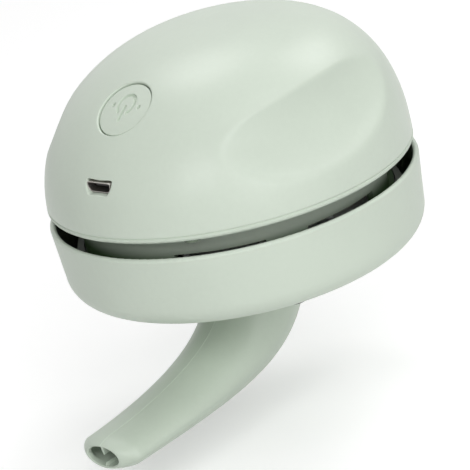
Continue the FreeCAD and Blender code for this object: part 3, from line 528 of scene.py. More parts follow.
@dataclass(frozen=True)
class SoftRubber(Finish):
    """Matt rubber with a dusty bloom and a fine open grain."""

    def paint(self, shader: Shader) -> Inputs:
        """Bloom lightens the colour in patches and the grain is coarser than on plastic."""
        bloom = shader.noise(2.2, 4.0, 0.65).ease(0.4, 0.75)
        return {"Base Color": shader.mix(bloom, self.colour, scaled(self.colour, 1.7)),
                "Roughness": 0.72 + bloom * 0.15,
                "Normal": shader.bump(shader.noise(0.3, 3.0), 0.02)}


@dataclass(frozen=True)
class WorkedMetal(Finish):
    """Drawn or plated metal: fine lines one way, slight tarnish."""

    gloss: float = 0.28
    lines: Trio = (1.0, 1.0, 14.0)
    tarnish: Colour = (0.25, 0.2, 0.14, 1.0)

    def paint(self, shader: Shader) -> Inputs:
        """Stretched noise gives the lines and broad noise the tarnish.

        Args:
            shader: Tree to add to.

        Returns:
            Inputs of the surface.
        """
        drawn = shader.noise(0.35, 2.0, 0.5, self.lines)
        stain = shader.noise(4.0, 4.0, 0.6).ease(0.5, 0.8)
        return {"Base Color": shader.mix(stain * 0.35, self.colour, self.tarnish),
                "Metallic": 1.0, "Roughness": self.gloss + drawn * 0.12 + stain * 0.1,
                "Normal": shader.bump(drawn, 0.006)}


@dataclass(frozen=True)
class BoardLaminate(Finish):
    """Circuit board: lacquer over glass cloth, copper tracks and plated pads."""

    weave: float = 0.6
    pad_colour: Colour = srgb(206, 196, 168)

    def paint(self, shader: Shader) -> Inputs:
        """Tracks are bands of a broad noise, pads are round cells, the weave is two waves.

        Args:
            shader: Tree to add to.

        Returns:
            Inputs of the surface.
        """
        across, along, _ = shader.axes()
        pitch = 2 * math.pi / (self.weave * MM)
        wave = (across * pitch).maths("SINE") * (along * pitch).maths("SINE")
        track = shader.noise(2.4, 1.0, 0.3)
        band = 1.0 - abs((track * 9.0).maths("FRACT") - 0.5).ease(0.12, 0.2)
        pads = 1.0 - shader.cells(2.6).ease(0.14, 0.18)
        lacquer = shader.mix(band * 0.45, self.colour, scaled(self.colour, 2.2))
        return {"Base Color": shader.mix(pads, lacquer, self.pad_colour),
                "Metallic": pads * 0.9, "Roughness": 0.32 + wave * 0.03,
                "Normal": shader.bump(band * 0.6 + wave * 0.2 + pads, 0.03)}


@dataclass(frozen=True)
class ShrinkWrap(Finish):
    """Thin film shrunk over a cell: glossy, with a lengthwise welded seam and fine wrinkles."""

    crimp: Pair = (20.5, 23.5)
    seam_place: float = 20.4

    def paint(self, shader: Shader) -> Inputs:
        """Wrinkles run round the cell near its ends and the seam is a straight darker line.

        Args:
            shader: Tree to add to.

        Returns:
            Inputs of the surface.
        """
        along, depth, _ = shader.axes()
        ends = abs(along).ease(self.crimp[0] * MM, self.crimp[1] * MM)
        wrinkles = shader.noise(1.1, 3.0, 0.6, (0.5, 4.0, 4.0)) * ends
        weld = 1.0 - abs(depth - self.seam_place * MM).ease(0.1 * MM, 0.35 * MM)
        colour = shader.mix(ends, self.colour, scaled(self.colour, 0.8))
        return {"Base Color": shader.mix(weld * 0.5, colour, scaled(self.colour, 0.5)),
                "Roughness": 0.22 + shader.noise(2.0) * 0.1,
                "Normal": shader.bump(wrinkles, 0.12)}


@dataclass(frozen=True)
class FilterCloth(Finish):
    """Pressed filter fleece: tangled pale fibres, with painted shade in its pores."""

    def paint(self, shader: Shader) -> Inputs:
        """Two crossed stretched noises make the fibres and small cells the pores.

        Args:
            shader: Tree to add to.

        Returns:
            Inputs of the surface.
        """
        fibres = shader.noise(0.35, 4.0, 0.7, (5.0, 1.0, 1.0)).maths(
            "MAXIMUM", shader.noise(0.35, 4.0, 0.7, (1.0, 5.0, 1.0)))
        pores = 1.0 - shader.cells(0.8).ease(0.12, 0.4)
        colour = shader.mix(fibres.ease(0.4, 0.75), scaled(self.colour, 0.72), self.colour)
        # Painted shade: the pores are darkened towards 0.3 of the cloth's colour.
        return {"Base Color": shader.mix(pores * 0.6, colour, scaled(self.colour, 0.3)),
                "Roughness": 0.92, "Normal": shader.bump(fibres - pores * 0.6, 0.15)}


@dataclass(frozen=True)
class NylonBristle(Finish):
    """Drawn nylon hair, with painted shade towards its root."""

    def paint(self, shader: Shader) -> Inputs:
        """Height above the carrier paints shade onto the colour, darker towards the root, and fine
        noise varies the hairs.

        Args:
            shader: Tree to add to.

        Returns:
            Inputs of the surface.
        """
        lift = shader.axes()[2].ease(-0.9 * MM, 0.6 * MM)
        vary = shader.noise(0.35, 2.0)
        # Painted shade towards the roots, plus random tone between the hairs.
        shade = lift * 0.6 + vary * 0.3
        return {"Base Color": shader.mix(shade, self.colour, scaled(self.colour, 0.4)),
                "Roughness": 0.38 + vary * 0.15}


@dataclass(frozen=True)
class ClearResin(Finish):
    """Milky lamp resin with a faint clear coat."""

    haze: Colour = srgb(250, 250, 240)

    def paint(self, shader: Shader) -> Inputs:
        """A cloudy mix of body colour and a paler haze."""
        cloud = shader.noise(0.7, 3.0).ease(0.35, 0.7)
        return {"Base Color": shader.mix(cloud, self.colour, self.haze),
                "Roughness": 0.14 + cloud * 0.1, "Coat Weight": cloud * 0.5}


SAGE = srgb(205, 216, 202)


class Surface(Enum):
    """The finishes of the part, by what they are made of."""

    SHELL = MouldedPlastic("sage_shell_plastic", SAGE, gloss=0.36)
    # Painted shade: the mid frame turns dark green below 13.4 mm, fading out by 18.2 mm, where the
    # neck wall sits in the gap under the deck.
    FRAME = MouldedPlastic("sage_frame_plastic", SAGE, gloss=0.5, ior=1.15,
                           painted_shade=PaintedShade(srgb(62, 86, 54), 13.4, 18.2))
    # Painted shade: the bowl's inside, within 41.2 mm of the axis and above 6.5 mm, turns near
    # black below 16.4 mm, fading out by 17.5 mm.
    BOWL = MouldedPlastic("sage_bowl_plastic", SAGE, gloss=0.44,
                          painted_shade=PaintedShade(srgb(46, 56, 40), 16.4, 17.5, floor=6.5, within=41.2))
    # Painted shade: the nozzle's colour is the sage made a little darker, standing in for the shade
    # under the bowl.
    NOZZLE = MouldedPlastic("sage_nozzle_plastic", srgb(198, 210, 195), gloss=0.38, seam=0.2)
    BUTTON = MouldedPlastic("sage_button_plastic", SAGE, gloss=0.37, grain=0.18)
    FILTER_PLASTIC = MouldedPlastic("filter_plastic", srgb(231, 232, 229), gloss=0.5, flow=0.03)
    FAN_PLASTIC = MouldedPlastic("fan_plastic", srgb(236, 238, 236), gloss=0.4, flow=0.03)
    CAP_PLASTIC = MouldedPlastic("motor_cap_plastic", srgb(28, 28, 30), gloss=0.5, flow=0.1)
    SWITCH_PLASTIC = MouldedPlastic("switch_plastic", srgb(36, 36, 38), gloss=0.45, flow=0.1)
    TONGUE_PLASTIC = MouldedPlastic("tongue_plastic", srgb(30, 29, 28), gloss=0.5, flow=0.1)
    PLUNGER_PLASTIC = MouldedPlastic("plunger_plastic", srgb(186, 68, 58), gloss=0.4, flow=0.05)
    CHIP_PLASTIC = MouldedPlastic("chip_plastic", srgb(24, 24, 25), gloss=0.55, flow=0.12,
                                  grain=0.1)
    BRUSH_PLASTIC = MouldedPlastic("brush_plastic", srgb(92, 94, 92), gloss=0.5, flow=0.05)
    SEAL_RUBBER = SoftRubber("seal_rubber", srgb(60, 60, 60))
    FOOT_RUBBER = SoftRubber("foot_rubber", srgb(78, 80, 78))
    DAMPER_RUBBER = SoftRubber("damper_rubber", srgb(40, 40, 42))
    MOTOR_STEEL = WorkedMetal("motor_steel", srgb(186, 188, 190))
    SHAFT_STEEL = WorkedMetal("shaft_steel", srgb(206, 208, 210), gloss=0.18)
    # Painted shade: the screws' steel and its tarnish are tinted the dark green-grey of the shaded
    # frame round them.
    SCREW_STEEL = WorkedMetal("screw_steel", srgb(112, 124, 108), gloss=0.44,
                              lines=(6.0, 6.0, 1.0), tarnish=srgb(86, 96, 82))
    NICKEL = WorkedMetal("nickel_strip", srgb(196, 192, 182), lines=(1.0, 10.0, 1.0))
    BRASS = WorkedMetal("terminal_brass", srgb(208, 170, 96), tarnish=srgb(120, 84, 40))
    SOCKET_METAL = WorkedMetal("socket_metal", srgb(168, 165, 160), gloss=0.3,
                               lines=(8.0, 1.0, 1.0), tarnish=srgb(104, 84, 64))
    BOARD = BoardLaminate("board_laminate", srgb(26, 74, 48))
    WRAP = ShrinkWrap("cell_wrap", srgb(52, 96, 168))
    CLOTH = FilterCloth("filter_cloth", srgb(226, 226, 218))
    BRISTLE = NylonBristle("bristle_nylon", srgb(66, 66, 66))
    LAMP = ClearResin("lamp_resin", srgb(246, 243, 230))


# ---- the dome's form ----


@dataclass(frozen=True)
class DomeForm:
    """Moulded head: level circles that shrink and shift back, less one ring-shaped scoop a side.

    With an inset it is the face that lies that far inside the outer one. The foot is the height
    of its lowest level above the deck line.
    """

    inset: float = 0.0
    foot: float = 1.2
    radius: float = 42.06
    height: float = 33.4
    side_power: float = 2.565
    crown_power: float = 2.171
    shift: float = 6.5
    shift_power: float = 1.606
    deck: float = 20.9
    scoop_ring: float = 54.7
    scoop_tube: float = 17.0
    scoop_centre: Trio = (2.4, -2.2, 72.2)
    scoop_lean: float = 31.0
    scoop_pitch: float = 8.7
    crest_blend: float = 0.45
    foot_blend: float = 1.3
    blend_change: float = 0.35
    front_rise: float = 1.1
    front_reach: Pair = (-32.0, -14.0)
    core_rise: float = 0.35

    def level(self, height: Array) -> tuple[Array, Array, Array]:
        """Radius R(1 - rise^a)^(1/b), rearward shift and radius lost per height of a level circle.

        Args:
            height: Heights above the deck line.

        Returns:
            Radii, shifts and slopes.
        """
        top = self.height - self.inset
        rise = np.clip(height / top, 1e-6, 1.0)
        core = np.clip(1.0 - rise**self.crown_power, 1e-9, 1.0)
        radius = (self.radius - self.inset) * core ** (1.0 / self.side_power)
        slope = radius / core * rise ** (self.crown_power - 1.0) * self.crown_power
        return radius, self.shift * rise**self.shift_power, slope / self.side_power / top

    def beyond(self, points: Array) -> Array:
        """Reach past the level circle over the slant's length, plus the height above the crown.

        Args:
            points: Points in millimetres.

        Returns:
            Rough distances from the dome without its scoops, negative inside.
        """
        height = points[..., 2] - self.deck
        radius, shift, slope = self.level(height)
        reach = np.hypot(points[..., 0], points[..., 1] - shift) - radius
        over = np.maximum(height - self.height + self.inset, 0.0)
        return reach / np.sqrt(1.0 + slope**2) + over

    def within_scoop(self, points: Array, side: int) -> tuple[Array, Array]:
        """Depth in one scoop: tube radius, less its rise in front, less the way to the ring.

        Args:
            points: Points in millimetres.
            side: +1 for the scoop on +X, -1 for the other.

        Returns:
            Depths, negative outside, and the place across the tube, -1 at its crest side to 1.
        """
        lean, pitch = math.radians(side * self.scoop_lean), math.radians(self.scoop_pitch)
        turn = np.array(Matrix.Rotation(lean, 3, "Y") @ Matrix.Rotation(pitch, 3, "X"))
        local = (points - np.array(self.scoop_centre) * (side, 1.0, 1.0)) @ turn
        out = np.hypot(local[..., 0], local[..., 1]) - self.scoop_ring
        tube = self.scoop_tube + self.inset
        rise = self.front_rise * (1.0 - smooth_step(points[..., 1], *self.front_reach))
        return tube - rise - np.hypot(out, local[..., 2]), out / tube

    def depth(self, points: Array) -> Array:
        """Smooth maximum of the dome's field and both scoops', with crisp crests and soft feet.

        Args:
            points: Points in millimetres.

        Returns:
            Values, negative inside and zero on the scooped face.
        """
        reach = self.beyond(points)
        for side in (-1, 1):
            deep, across = self.within_scoop(points, side)
            low = smooth_step(across, -self.blend_change, self.blend_change)
            width = self.crest_blend * (1.0 - low) + self.foot_blend * low
            reach = smooth_max(reach, deep, width)
        return reach

    def meridian(self) -> tuple[Array, Array]:
        """Arc shares from the top to the foot and the heights that go with them.

        Returns:
            Arc shares 0 to 1 and heights.
        """
        top = self.height - self.inset
        last = math.asin((self.foot / top) ** (self.crown_power / 2.0))
        turn = np.linspace(math.pi / 2.0, last, 4001)
        height = top * np.sin(turn) ** (2.0 / self.crown_power)
        radius = (self.radius - self.inset) * np.clip(np.cos(turn), 0, 1) ** (2.0 / self.side_power)
        arc = np.concatenate([[0.0], np.cumsum(np.hypot(np.diff(height), np.diff(radius)))])
        return arc / arc[-1], height

    def skin(self, azimuth: Array, share: Array) -> Array:
        """Points of the scooped face, found along rays from the dome's core to the plain dome.

        Args:
            azimuth: Angles about the upright axis in radians.
            share: Arc shares from the top, 0 to 1.

        Returns:
            Points in millimetres.
        """
        height = np.interp(share, *self.meridian())
        radius, shift, _ = self.level(height)
        radius = np.where(share < 1e-6, 0.0, radius)
        face = np.stack([radius * np.cos(azimuth), shift + radius * np.sin(azimuth),
                         self.deck + height], -1)
        core_height = self.deck + self.foot + self.core_rise * (height - self.foot)
        core = np.stack([np.zeros_like(shift), shift, core_height], -1)
        ray = face - core
        _, far = halve(lambda part: self.depth(core + ray * part[..., None]) < 0.0,
                       np.zeros_like(radius), np.ones_like(radius), steps=26)
        return core + ray * far[..., None]

    def place_of(self, points: Array) -> Array:
        """Azimuth and arc share of points on the plain dome.

        Args:
            points: Points in millimetres.

        Returns:
            Azimuths and shares, last axis 2.
        """
        shares, heights = self.meridian()
        height = points[..., 2] - self.deck
        share = np.interp(-height, -heights, shares)
        shift = self.level(height)[1]
        return np.stack([np.arctan2(points[..., 1] - shift, points[..., 0]), share], -1)


@dataclass(frozen=True)
class Opening:
    """A hole through the shell: an axis with its cross directions and a round outline."""

    origin: Trio
    tilt: float
    rounding: float
    half_columns: int
    half_rows: int
    radius: float = 7.0
    search: Pair = (-8.0, 4.0)

    def axes(self) -> Array:
        """Across, up and outward unit rows; tilt is from level to straight up, in degrees."""
        low, high = math.cos(math.radians(self.tilt)), math.sin(math.radians(self.tilt))
        return np.array([(1.0, 0.0, 0.0), (0.0, high, low), (0.0, -low, high)])

    def reach(self, angle: Array, grow: float = 0.0) -> Array:
        """Distances of the outline, grown by so much, from the axis at some angles."""
        return np.full(np.shape(angle), self.radius + grow)

    def on_dome(self, form: DomeForm, angle: Array, reach: Array) -> Array:
        """Points where lines along the axis meet the plain dome.

        Args:
            form: The dome.
            angle: Angles about the axis.
            reach: Distances from the axis.

        Returns:
            Points in millimetres.
        """
        across, up, out = self.axes()
        foot = (np.array(self.origin) + (reach * np.cos(angle))[..., None] * across
                + (reach * np.sin(angle))[..., None] * up)
        ends = (np.full(foot.shape[:-1], end) for end in self.search)
        low, _ = halve(lambda lift: form.beyond(foot + lift[..., None] * out) < 0.0,
                       *ends, steps=36)
        return foot + low[..., None] * out


@dataclass(frozen=True)
class SocketOpening(Opening):
    """Mouth of the charging socket: wide above, its lower corners cut off, all corners rounded."""

    half_wide: float = 3.7
    half_narrow: float = 2.8
    half_high: float = 1.3
    shoulder: float = 0.26
    corner: float = 16.0

    def reach(self, angle: Array, grow: float = 0.0) -> Array:
        """Distance to the outline: a power mean of the sides' ray distances rounds its corners.

        Args:
            angle: Angles about the axis in radians.
            grow: How far outside the outline.

        Returns:
            Distances in millimetres.
        """
        wide, high = self.half_wide + grow, self.half_high + grow
        narrow = self.half_narrow + grow * 0.6
        slant = np.array([high - self.shoulder, narrow - wide])
        slant = slant / np.linalg.norm(slant)
        offset = slant[0] * wide - slant[1] * self.shoulder
        sides = ((0.0, 1.0, high), (0.0, -1.0, high), (1.0, 0.0, wide), (-1.0, 0.0, wide),
                 (slant[0], slant[1], offset), (-slant[0], slant[1], offset))
        total = np.zeros(np.shape(angle))
        for normal_x, normal_y, distance in sides:
            facing = np.clip(normal_x * np.cos(angle) + normal_y * np.sin(angle), 0.0, None)
            total = total + (facing / distance) ** self.corner
        return total ** (-1.0 / self.corner)


BUTTON_WELL = Opening(origin=(0.0, -26.723, 46.2), tilt=90.0 - 33.47, rounding=0.32,
                      half_columns=14, half_rows=9)
SOCKET_MOUTH = SocketOpening(origin=(0.0, -39.117, 32.4), tilt=0.0, rounding=0.4,
                             half_columns=6, half_rows=4)


# ---- sub-assemblies ----


@dataclass
class DomeShell:
    """Moulded top shell with thumb scoops, button well and socket mouth, inside and out."""

    form: DomeForm = DomeForm()
    columns: int = 240
    rows: int = 62
    lead_rows: int = 5
    lead_power: float = 1.3
    wall: float = 2.0
    edge: float = 0.25
    boss_radius: float = 2.7
    boss_bore: float = 1.15
    boss_ends: Pair = (22.5, 28.5)
    boss_circle: float = 37.8
    boss_angles: tuple[float, ...] = (60.0, 120.0, 240.0, 300.0)

    def window(self, opening: Opening, fineness: int) -> tuple[Array, Array]:
        """Rows and columns round the part of the grid that an opening takes, once round.

        Args:
            opening: The opening.
            fineness: 1 on the inner face, 2 on the outer face.

        Returns:
            Row numbers and column numbers of the frame.
        """
        share = self.form.place_of(np.array(opening.origin))[1]
        middle = round(float(share) * self.rows) - 1
        low, high = middle - opening.half_rows, middle + opening.half_rows
        if fineness == 2:
            low, high = 2 * low + 1, 2 * high + 1
        left = (self.columns // 2 - opening.half_columns) * fineness
        right = (self.columns // 2 + opening.half_columns) * fineness
        down, side = np.arange(low, high), np.arange(left, right)
        rows = [np.full(len(side), low), down, np.full(len(side), high), down[::-1] + 1]
        columns = [side, np.full(len(down), right), side[::-1] + 1, np.full(len(down), left)]
        return np.concatenate(rows), np.concatenate(columns)

    def face(self, skin: Skin, form: DomeForm, fineness: int,
             turns: list[Array] | None) -> tuple[Array, list[Array], list[Array]]:
        """One face of the shell: a grid round the dome with a ring of points into each opening.

        Args:
            skin: Mesh to add to.
            form: The dome with the face's inset and foot.
            fineness: 1 on the inner face, 2 on the outer face.
            turns: Angles of each opening's ring, or None to take them from the grid.

        Returns:
            Numbers of the lowest row, of each opening's ring, and each ring's angles.
        """
        rows, columns = self.rows * fineness, self.columns * fineness
        share = np.arange(1, rows + 1) / rows
        azimuth = 2 * math.pi * np.arange(columns) / columns - 1.5 * math.pi
        points = form.skin(*np.meshgrid(azimuth, share))
        numbers = skin.place(points)
        keep = np.ones((rows - 1, columns), bool)
        steps = self.lead_rows * fineness
        ease = (np.arange(1, steps) / steps) ** self.lead_power
        rings, angles = [], []
        for place, opening in enumerate((BUTTON_WELL, SOCKET_MOUTH)):
            down, side = self.window(opening, fineness)
            keep[down.min():down.max(), side.min():side.max()] = False
            across, up, _ = opening.axes()
            offset = points[down, side] - opening.origin
            angle = turns[place] if turns else np.arctan2(offset @ up, offset @ across)
            grow = 0.0 if form.inset else opening.rounding
            ring = opening.on_dome(form, angle, opening.reach(angle, grow))
            start = form.place_of(ring)
            way = np.stack([azimuth[side], share[down]], -1) - start
            between = start + way * ease[:, None, None]
            edge = skin.place(ring)
            middle = skin.place(form.skin(between[..., 0], between[..., 1]))
            skin.weave(np.concatenate([edge[None], middle, numbers[down, side][None]]))
            rings.append(edge)
            angles.append(angle)
        skin.weave(numbers, keep=keep)
        skin.fan(numbers[0], form.skin(np.zeros(1), np.zeros(1))[0])
        return numbers[-1], rings, angles

    def build(self) -> Piece:
        """Make the shell: both faces, rounded opening edges, the lower rim and the screw bosses.

        Returns:
            The shell.
        """
        skin = Skin()
        outer = replace(self.form, foot=self.form.foot + self.edge)
        foot_row, rings, angles = self.face(skin, outer, 2, None)
        half_angles = [angle[::2] for angle in angles]
        inner_row, inner_rings, _ = self.face(skin, replace(self.form, inset=self.wall), 1,
                                              half_angles)
        points = np.concatenate(skin.points)
        openings = (BUTTON_WELL, SOCKET_MOUTH)
        for opening, ring, inner, angle in zip(openings, rings, inner_rings, angles):
            across, up, out = opening.axes()
            radial = np.cos(angle)[:, None] * across + np.sin(angle)[:, None] * up
            bend, drop = quarter_turn(5)
            lip = points[ring] - opening.rounding * (bend * radial + drop * out)
            rows = np.concatenate([ring[None], skin.place(lip)])
            skin.weave(rows)
            skin.stitch(rows[-1], inner)
        level = points[foot_row] * (1.0, 1.0, 0.0)
        radial = level / np.linalg.norm(level, axis=1, keepdims=True)
        bend, drop = quarter_turn(4)
        rim = points[foot_row] - self.edge * (drop * radial + bend * UPRIGHT)
        rows = np.concatenate([foot_row[None], skin.place(rim)])
        skin.weave(rows)
        skin.stitch(rows[-1], inner_row)
        low, high = self.boss_ends
        profile = np.array([(self.boss_radius, low), (self.boss_radius, high),
                            (self.boss_bore, high), (self.boss_bore, low)])
        for turn in np.radians(self.boss_angles):
            skin.lathe(profile, 24, polar(self.boss_circle, turn), hollow=True)
        shell = skin.build("dome_shell")
        Surface.SHELL.value.dress(shell)
        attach(shell, "housing")
        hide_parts("top_shell")
        return shell


@dataclass
class PowerButton:
    """Round cap that follows the dome, with an engraved power sign and two engraved dots."""

    form: DomeForm = DomeForm()
    radius: float = 6.74
    recess: float = 0.42
    edge: float = 0.22
    rings: int = 84
    columns: int = 288
    flange_radius: float = 7.75
    flange_depths: Pair = (2.5, 3.0)
    shank_radius: float = 2.4
    shank_depth: float = 5.4
    carve: float = 0.62
    line: float = 0.42
    loop_radius: float = 2.2
    loop_stretch: float = 1.14
    loop_centre: float = 1.05
    loop_gap: float = 36.0
    stem: Pair = (-3.05, 0.45)
    dot_place: Pair = (3.82, 0.75)
    dot_size: float = 0.46
    dot_stretch: float = 0.75
    dot_carve: float = 1.3

    def carving(self, across: Array, up: Array) -> Array:
        """Depth of the engraving: distance to the loop, stem and dots, eased to a soft edge.

        Args:
            across: Distances to the right of the button's centre.
            up: Distances above it.

        Returns:
            Depths, 0 on the plain face.
        """
        rise = (up - self.loop_centre) / self.loop_stretch
        angle = np.degrees(np.arctan2(across, -rise))
        open_gap = np.radians(self.loop_gap)
        ends = np.hypot(np.abs(across) - self.loop_radius * math.sin(open_gap),
                        rise + self.loop_radius * math.cos(open_gap))
        ring = np.abs(np.hypot(across, rise) - self.loop_radius)
        loop = np.where(np.abs(angle) > self.loop_gap, ring, ends)
        stem = np.hypot(across, up - np.clip(up, *self.stem))
        dots = np.hypot(np.abs(across) - self.dot_place[0],
                        (up - self.dot_place[1]) * self.dot_stretch)
        lines = 1.0 - smooth_step(np.minimum(loop, stem), self.line * 0.5, self.line)
        pips = 1.0 - smooth_step(dots, self.dot_size * 0.5, self.dot_size)
        return self.carve * np.maximum(lines, pips * self.dot_carve)

    def build(self) -> Piece:
        """Make the cap: engraved face, rounded edge, skirt, flange and shank.

        Returns:
            The cap.
        """
        skin = Skin()
        across, up, out = BUTTON_WELL.axes()
        origin = np.array(BUTTON_WELL.origin)
        turn = full_turn(self.columns)
        reach = (self.radius - self.edge) * (np.arange(1, self.rings + 1) / self.rings)
        grid_turn, grid_reach = np.meshgrid(turn, reach)
        face = BUTTON_WELL.on_dome(self.form, grid_turn, grid_reach)
        carved = self.carving(grid_reach * np.cos(grid_turn), grid_reach * np.sin(grid_turn))
        face = face - (self.recess + carved)[..., None] * out
        radial = np.cos(turn)[:, None] * across + np.sin(turn)[:, None] * up
        bend, drop = quarter_turn(5)
        edge = face[-1] + self.edge * (bend * radial - drop * out)
        top, bottom = self.flange_depths
        below = np.array([(self.radius, top), (self.flange_radius, top),
                          (self.flange_radius, bottom), (self.shank_radius, bottom),
                          (self.shank_radius, self.shank_depth)])
        skirt = origin + below[:, 0, None, None] * radial - below[:, 1, None, None] * out
        numbers = skin.place(np.concatenate([face, edge, skirt]))
        skin.weave(numbers)
        skin.fan(numbers[0], face[0].mean(axis=0))
        skin.fan(numbers[-1], origin - self.shank_depth * out)
        cap = skin.build("button_cap", 40.0)
        Surface.BUTTON.value.dress(cap)
        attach(cap, "button")
        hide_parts("power_button")
        return cap


@dataclass
class SocketShell:
    """Folded metal shell of the charging socket with a rolled front rim."""

    front: float = -38.767
    depth: float = 5.6
    rim: float = 0.1
    clearance: float = 0.15
    wall: float = 0.3
    back_wall: float = 0.4
    columns: int = 96

    def build(self) -> Piece:
        """Make the shell: outline carried along Y, rolled at the front and closed at the back.

        Returns:
            The socket shell.
        """
        skin = Skin()
        turn = full_turn(self.columns)
        roll = np.radians(np.linspace(0.0, 180.0, 7))
        back, inner_back = self.front + self.depth, self.front + self.depth - self.back_wall
        grow = [0.0, *(self.rim * (np.cos(roll) - 1.0) - self.clearance), -self.wall]
        along = [back, *(self.front + self.rim * (1.0 - np.sin(roll))), inner_back]
        rows = []
        for inset, place in zip(grow, along):
            ring = polar(SOCKET_MOUTH.reach(turn, inset), turn)
            rows.append(np.stack([ring[:, 0], np.full_like(turn, place),
                                  SOCKET_MOUTH.origin[2] + ring[:, 1]], -1))
        numbers = skin.place(np.array(rows))
        skin.weave(numbers)
        for row, place in ((numbers[0], back), (numbers[-1], inner_back)):
            skin.fan(row, np.array([0.0, place, SOCKET_MOUTH.origin[2]]))
        shell = skin.build("socket_shell")
        Surface.SOCKET_METAL.value.dress(shell)
        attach(shell, "housing")
        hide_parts("usb_shell")
        return shell


@dataclass
class CurvedNozzle:
    """Curved suction nozzle of two glued half shells, with a seam bead and ribs at the mouth."""

    root: float = 12.4
    wall: float = 1.3
    reach: float = 52.8
    drop: float = 24.05
    tip_angle: float = 89.0
    root_pull: float = 15.8
    tip_pull: float = 44.7
    tip_width: float = 8.85
    tip_height: float = 3.65
    waist: float = 0.4
    swell: float = 2.0
    nose: float = 3.3
    nose_power: float = 1.3
    mouth_width: float = 4.7
    mouth_height: float = 2.35
    lip: float = 0.4125
    flare: Pair = (0.25, 0.2)
    spigot: float = 10.0
    spigot_top: float = 4.5
    seat: float = 1.4
    edge: float = 0.25
    throat: float = 8.7
    bead: float = 0.06
    seam_gap: float = 0.02
    rib_set_back: float = 0.35
    rib_length: float = 6.0
    rib_run_out: float = 0.6

    def centre_line(self, part: Array) -> tuple[Array, Array, Array]:
        """Middle line of the bend: a cubic in y and z, and its angle from straight down.

        Args:
            part: Shares of the way from root to tip.

        Returns:
            y, z and angle in radians.
        """
        tip = math.radians(self.tip_angle)
        line_y = (0.0, 0.0, self.tip_pull * math.sin(tip) - self.reach, -self.reach)
        line_z = (self.seat, self.seat - self.root_pull,
                  self.tip_pull * math.cos(tip) - self.drop, -self.drop)
        angle = np.arctan2(-cubic_slope(part, *line_y), -cubic_slope(part, *line_z))
        return cubic(part, *line_y), cubic(part, *line_z), angle

    def stations(self) -> Array:
        """Sections: straight spigot, bend whose half axes are cubics, nose that is superelliptic.

        Returns:
            Rows of y, z, angle, outer half width and height, inner half width and height.
        """
        rows = [(0.0, height, 0.0, outer, outer, self.throat, self.throat) for height, outer in (
            (self.spigot_top, self.spigot - self.edge), (self.spigot_top - self.edge, self.spigot),
            (self.seat, self.spigot), (self.seat, self.root - self.edge))]
        part = np.concatenate([[0.006, 0.026, 0.0265], np.linspace(0.035, 1.0, 96)])
        high = cubic(part, self.root, self.root - 0.1, self.tip_height + self.swell,
                     self.tip_height)
        wide = cubic(part, self.root, self.root, self.tip_width - self.waist, self.tip_width)
        inner_high, inner_wide = high - self.wall, wide - self.wall
        inner_high[:2] = inner_wide[:2] = self.throat
        bend = np.stack([*self.centre_line(part), wide, high, inner_wide, inner_high], -1)
        share = np.sin(np.linspace(0.0, math.pi / 2, 15)[1:])
        tip = math.radians(self.tip_angle)
        ahead = share * self.nose
        fall = np.clip(1.0 - share**self.nose_power, 0.0, 1.0) ** (1.0 / self.nose_power)
        nose_wide, nose_high = (
            end + (mouth + self.lip - end) * (1.0 - fall)
            for end, mouth in ((self.tip_width, self.mouth_width),
                               (self.tip_height, self.mouth_height)))
        close, open_up = smooth_step(share, 0.0, 0.7), smooth_step(share, 0.93, 1.0)
        inner = self.tip_width - self.wall
        mouth_wide = inner + (self.mouth_width - inner) * close + self.flare[0] * open_up
        mouth_high = self.mouth_height + self.flare[1] * open_up
        nose = np.stack([-self.reach - ahead * math.sin(tip), -self.drop - ahead * math.cos(tip),
                         np.full_like(share, tip), nose_wide, nose_high, mouth_wide,
                         mouth_high], -1)
        return np.concatenate([np.array(rows), bend, nose])

    def half(self, side: int) -> Skin:
        """One half shell: a C-shaped loop of points carried through the stations.

        Args:
            side: +1 for the half on +X, -1 for the other.

        Returns:
            The mesh.
        """
        skin = Skin()
        y, z, angle, wide, high, inner_wide, inner_high = np.moveaxis(
            self.stations()[:, :, None], 1, 0)
        near = np.array([self.seam_gap, 0.06, 0.1, 0.14, 0.2, 0.3, 0.5])
        seam = np.arccos(np.clip(near / wide, 0.0, 1.0))
        middle = np.linspace(-1.0, 1.0, 61)[1:-1] * seam[:, -1:]
        turn = np.concatenate([seam, middle[:, ::-1], -seam[:, ::-1]], axis=1)
        across = wide * np.cos(turn)
        raised = self.bead * (1.0 - smooth_step(across, 0.06, 0.2))
        inner_across = np.maximum(inner_wide * np.cos(turn[:, ::-1]), self.seam_gap)
        loop_x = np.concatenate([across, inner_across], axis=1) * side
        loop_n = np.concatenate([(high - self.bead + raised) * np.sin(turn),
                                 inner_high * np.sin(turn[:, ::-1])], axis=1)
        points = np.stack([loop_x, y + loop_n * np.cos(angle), z - loop_n * np.sin(angle)], -1)
        numbers = skin.place(points)
        skin.weave(numbers)
        count = turn.shape[1]
        for row in (numbers[0], numbers[-1]):
            skin.weave(np.stack([row[:count], row[count:][::-1]]), closed=False)
        return skin

    def rib(self, skin: Skin, low: float, high: float, width: float, side: int) -> None:
        """Glue rib on the seam just inside the mouth: a wedge that thins towards its free edge.

        Args:
            skin: Mesh to add to.
            low: Height of the free edge above the mouth's middle.
            high: Height of its root.
            width: Width at the root.
            side: Half that carries it.
        """
        front = -self.reach - self.nose + self.rib_set_back
        tall = np.array([low, low, high, high])
        across = np.array([self.seam_gap, width * 0.35, width, self.seam_gap]) * side
        rows = []
        for along, size in ((0.0, 0.55), (0.25, 1.0), (self.rib_length, 1.0),
                            (self.rib_length + self.rib_run_out, 0.1)):
            height = high + (tall - high) * size
            rows.append(np.stack([across, np.full(4, front + along), height - self.drop], -1))
        numbers = skin.place(np.array(rows))
        skin.weave(numbers)
        for end in (0, -1):
            skin.fan(numbers[end], rows[end].mean(axis=0))

